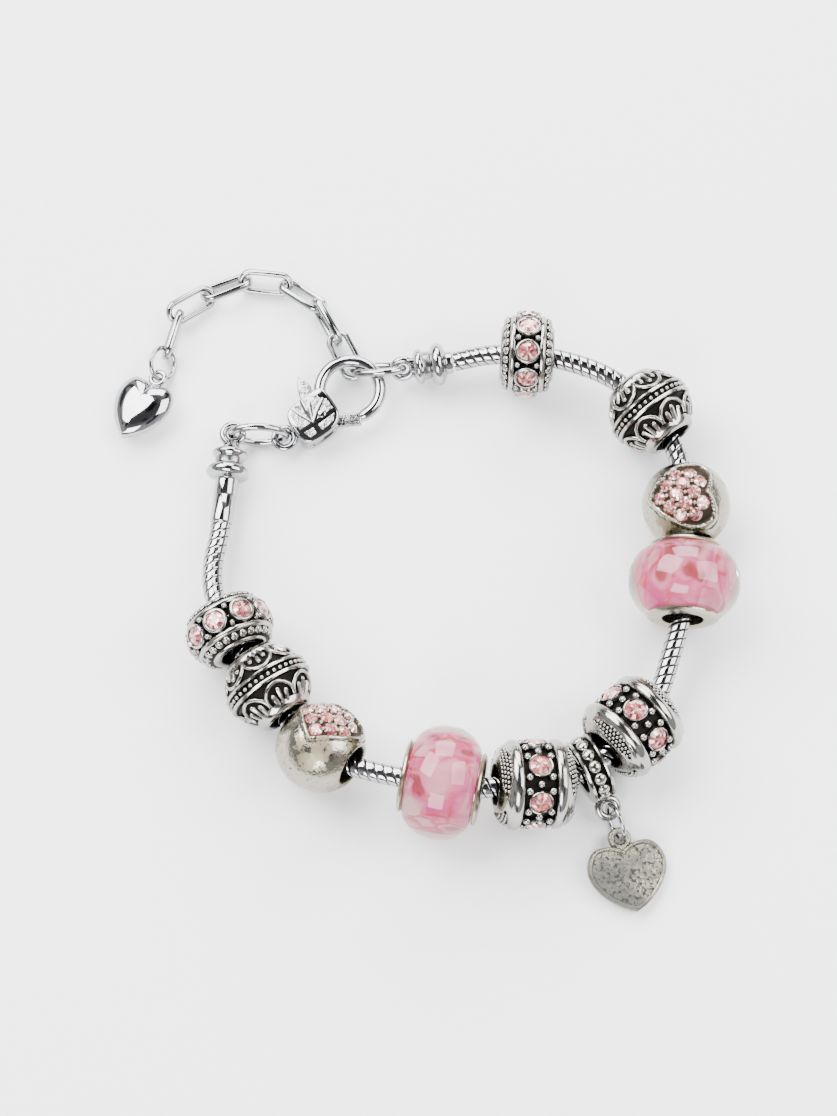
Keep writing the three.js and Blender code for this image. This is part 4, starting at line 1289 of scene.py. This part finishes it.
def cushion(outline, half_thickness, centre):
    """A solid whose outline shrinks towards its middle as it rises, like a cushion."""
    bm = new_piece()
    edges = draw_loop(bm, outline, 0)
    size, height = 1.0, 0.0
    for i in range(1, CUSHION_ROUNDS + 1):
        ring, edges = next_ring(bm, edges)
        share = i / CUSHION_ROUNDS
        now, rise = max(0.02, cos(share * pi / 2) ** 0.8), half_thickness * sin(share * pi / 2)
        move = (Matrix.Translation((centre, 0, rise)) @ Matrix.Diagonal((now / size, now / size, 1, 1))
                @ Matrix.Translation((-centre, 0, -height)))
        bmesh.ops.transform(bm, matrix=move, verts=ring)
        size, height = now, rise
    bmesh.ops.contextual_create(bm, geom=edges)
    other = bmesh.ops.duplicate(bm, geom=bm.verts[:] + bm.edges[:] + bm.faces[:])["geom"]
    bmesh.ops.scale(bm, vec=(1, 1, -1), verts=only_verts(other))
    bmesh.ops.remove_doubles(bm, verts=bm.verts, dist=0.001)
    return bm


def hang(bm, outward, ring, wire, steps, sides, neck, thickness, broad=1):
    """Moves a heart out from its eye, and joins the eye and the neck that holds it."""
    bmesh.ops.translate(bm, vec=(outward, 0, 0), verts=bm.verts)
    join(bm, ring_of_wire(ring, wire, steps, sides))
    stem = rod([(x, 0, 0) for x in neck], thickness, 12)
    bmesh.ops.scale(stem, vec=(1, broad, 1), verts=stem.verts)
    join(bm, stem)


bm = cushion(heart_outline(PUFFED_LENGTH, 7.7, 8), 1.72, 0.32 * PUFFED_LENGTH)
hang(bm, 1.8, 0.9, 0.35, 32, 12, neck=(0.9, 1.4, 2.3), thickness=[0.35, 0.45, 0.5])
finish("puffed_heart_shell", bm, placed(-33.73, 23.84, 1.88, 242, 0.9, 10), BRIGHT,
       ["puffed_heart"])

# %% [markdown]
# The flat heart is cast with a raised border round a grainy face, and its eye is part of the casting. The
# border is a rod laid midway between the plate's outline and a smaller heart. The face gets a value
# hollow that its coarse grain turns into specks; the border and the eye stay clean.

# %% Flat heart
RIM_HEIGHT = 0.42
outer = heart_outline(7.5, 9.8, 8)
inner = [point + Vector((0.5, 0)) for point in heart_outline(6.5, 8.7, 8)]
bm = plate(outer, -0.7, 0.56, 0.25)
darken(bm, 0.38)
rim = [((a + b) / 2).to_3d() + Vector((0, 0, RIM_HEIGHT)) for a, b in zip(outer, inner)]
join(bm, rod(rim + rim[:2], 0.34, 12, 0.85))
hang(bm, 1.7, 1.05, 0.42, 36, 14, neck=(0.95, 1.5, 2.4), thickness=[0.45, 0.55, 0.5], broad=2.3)
finish("flat_heart_casting", bm, placed(24.73, -36.74, 1.22, -76.5, -2.1, -4.1), STAINED,
       ["flat_heart"])
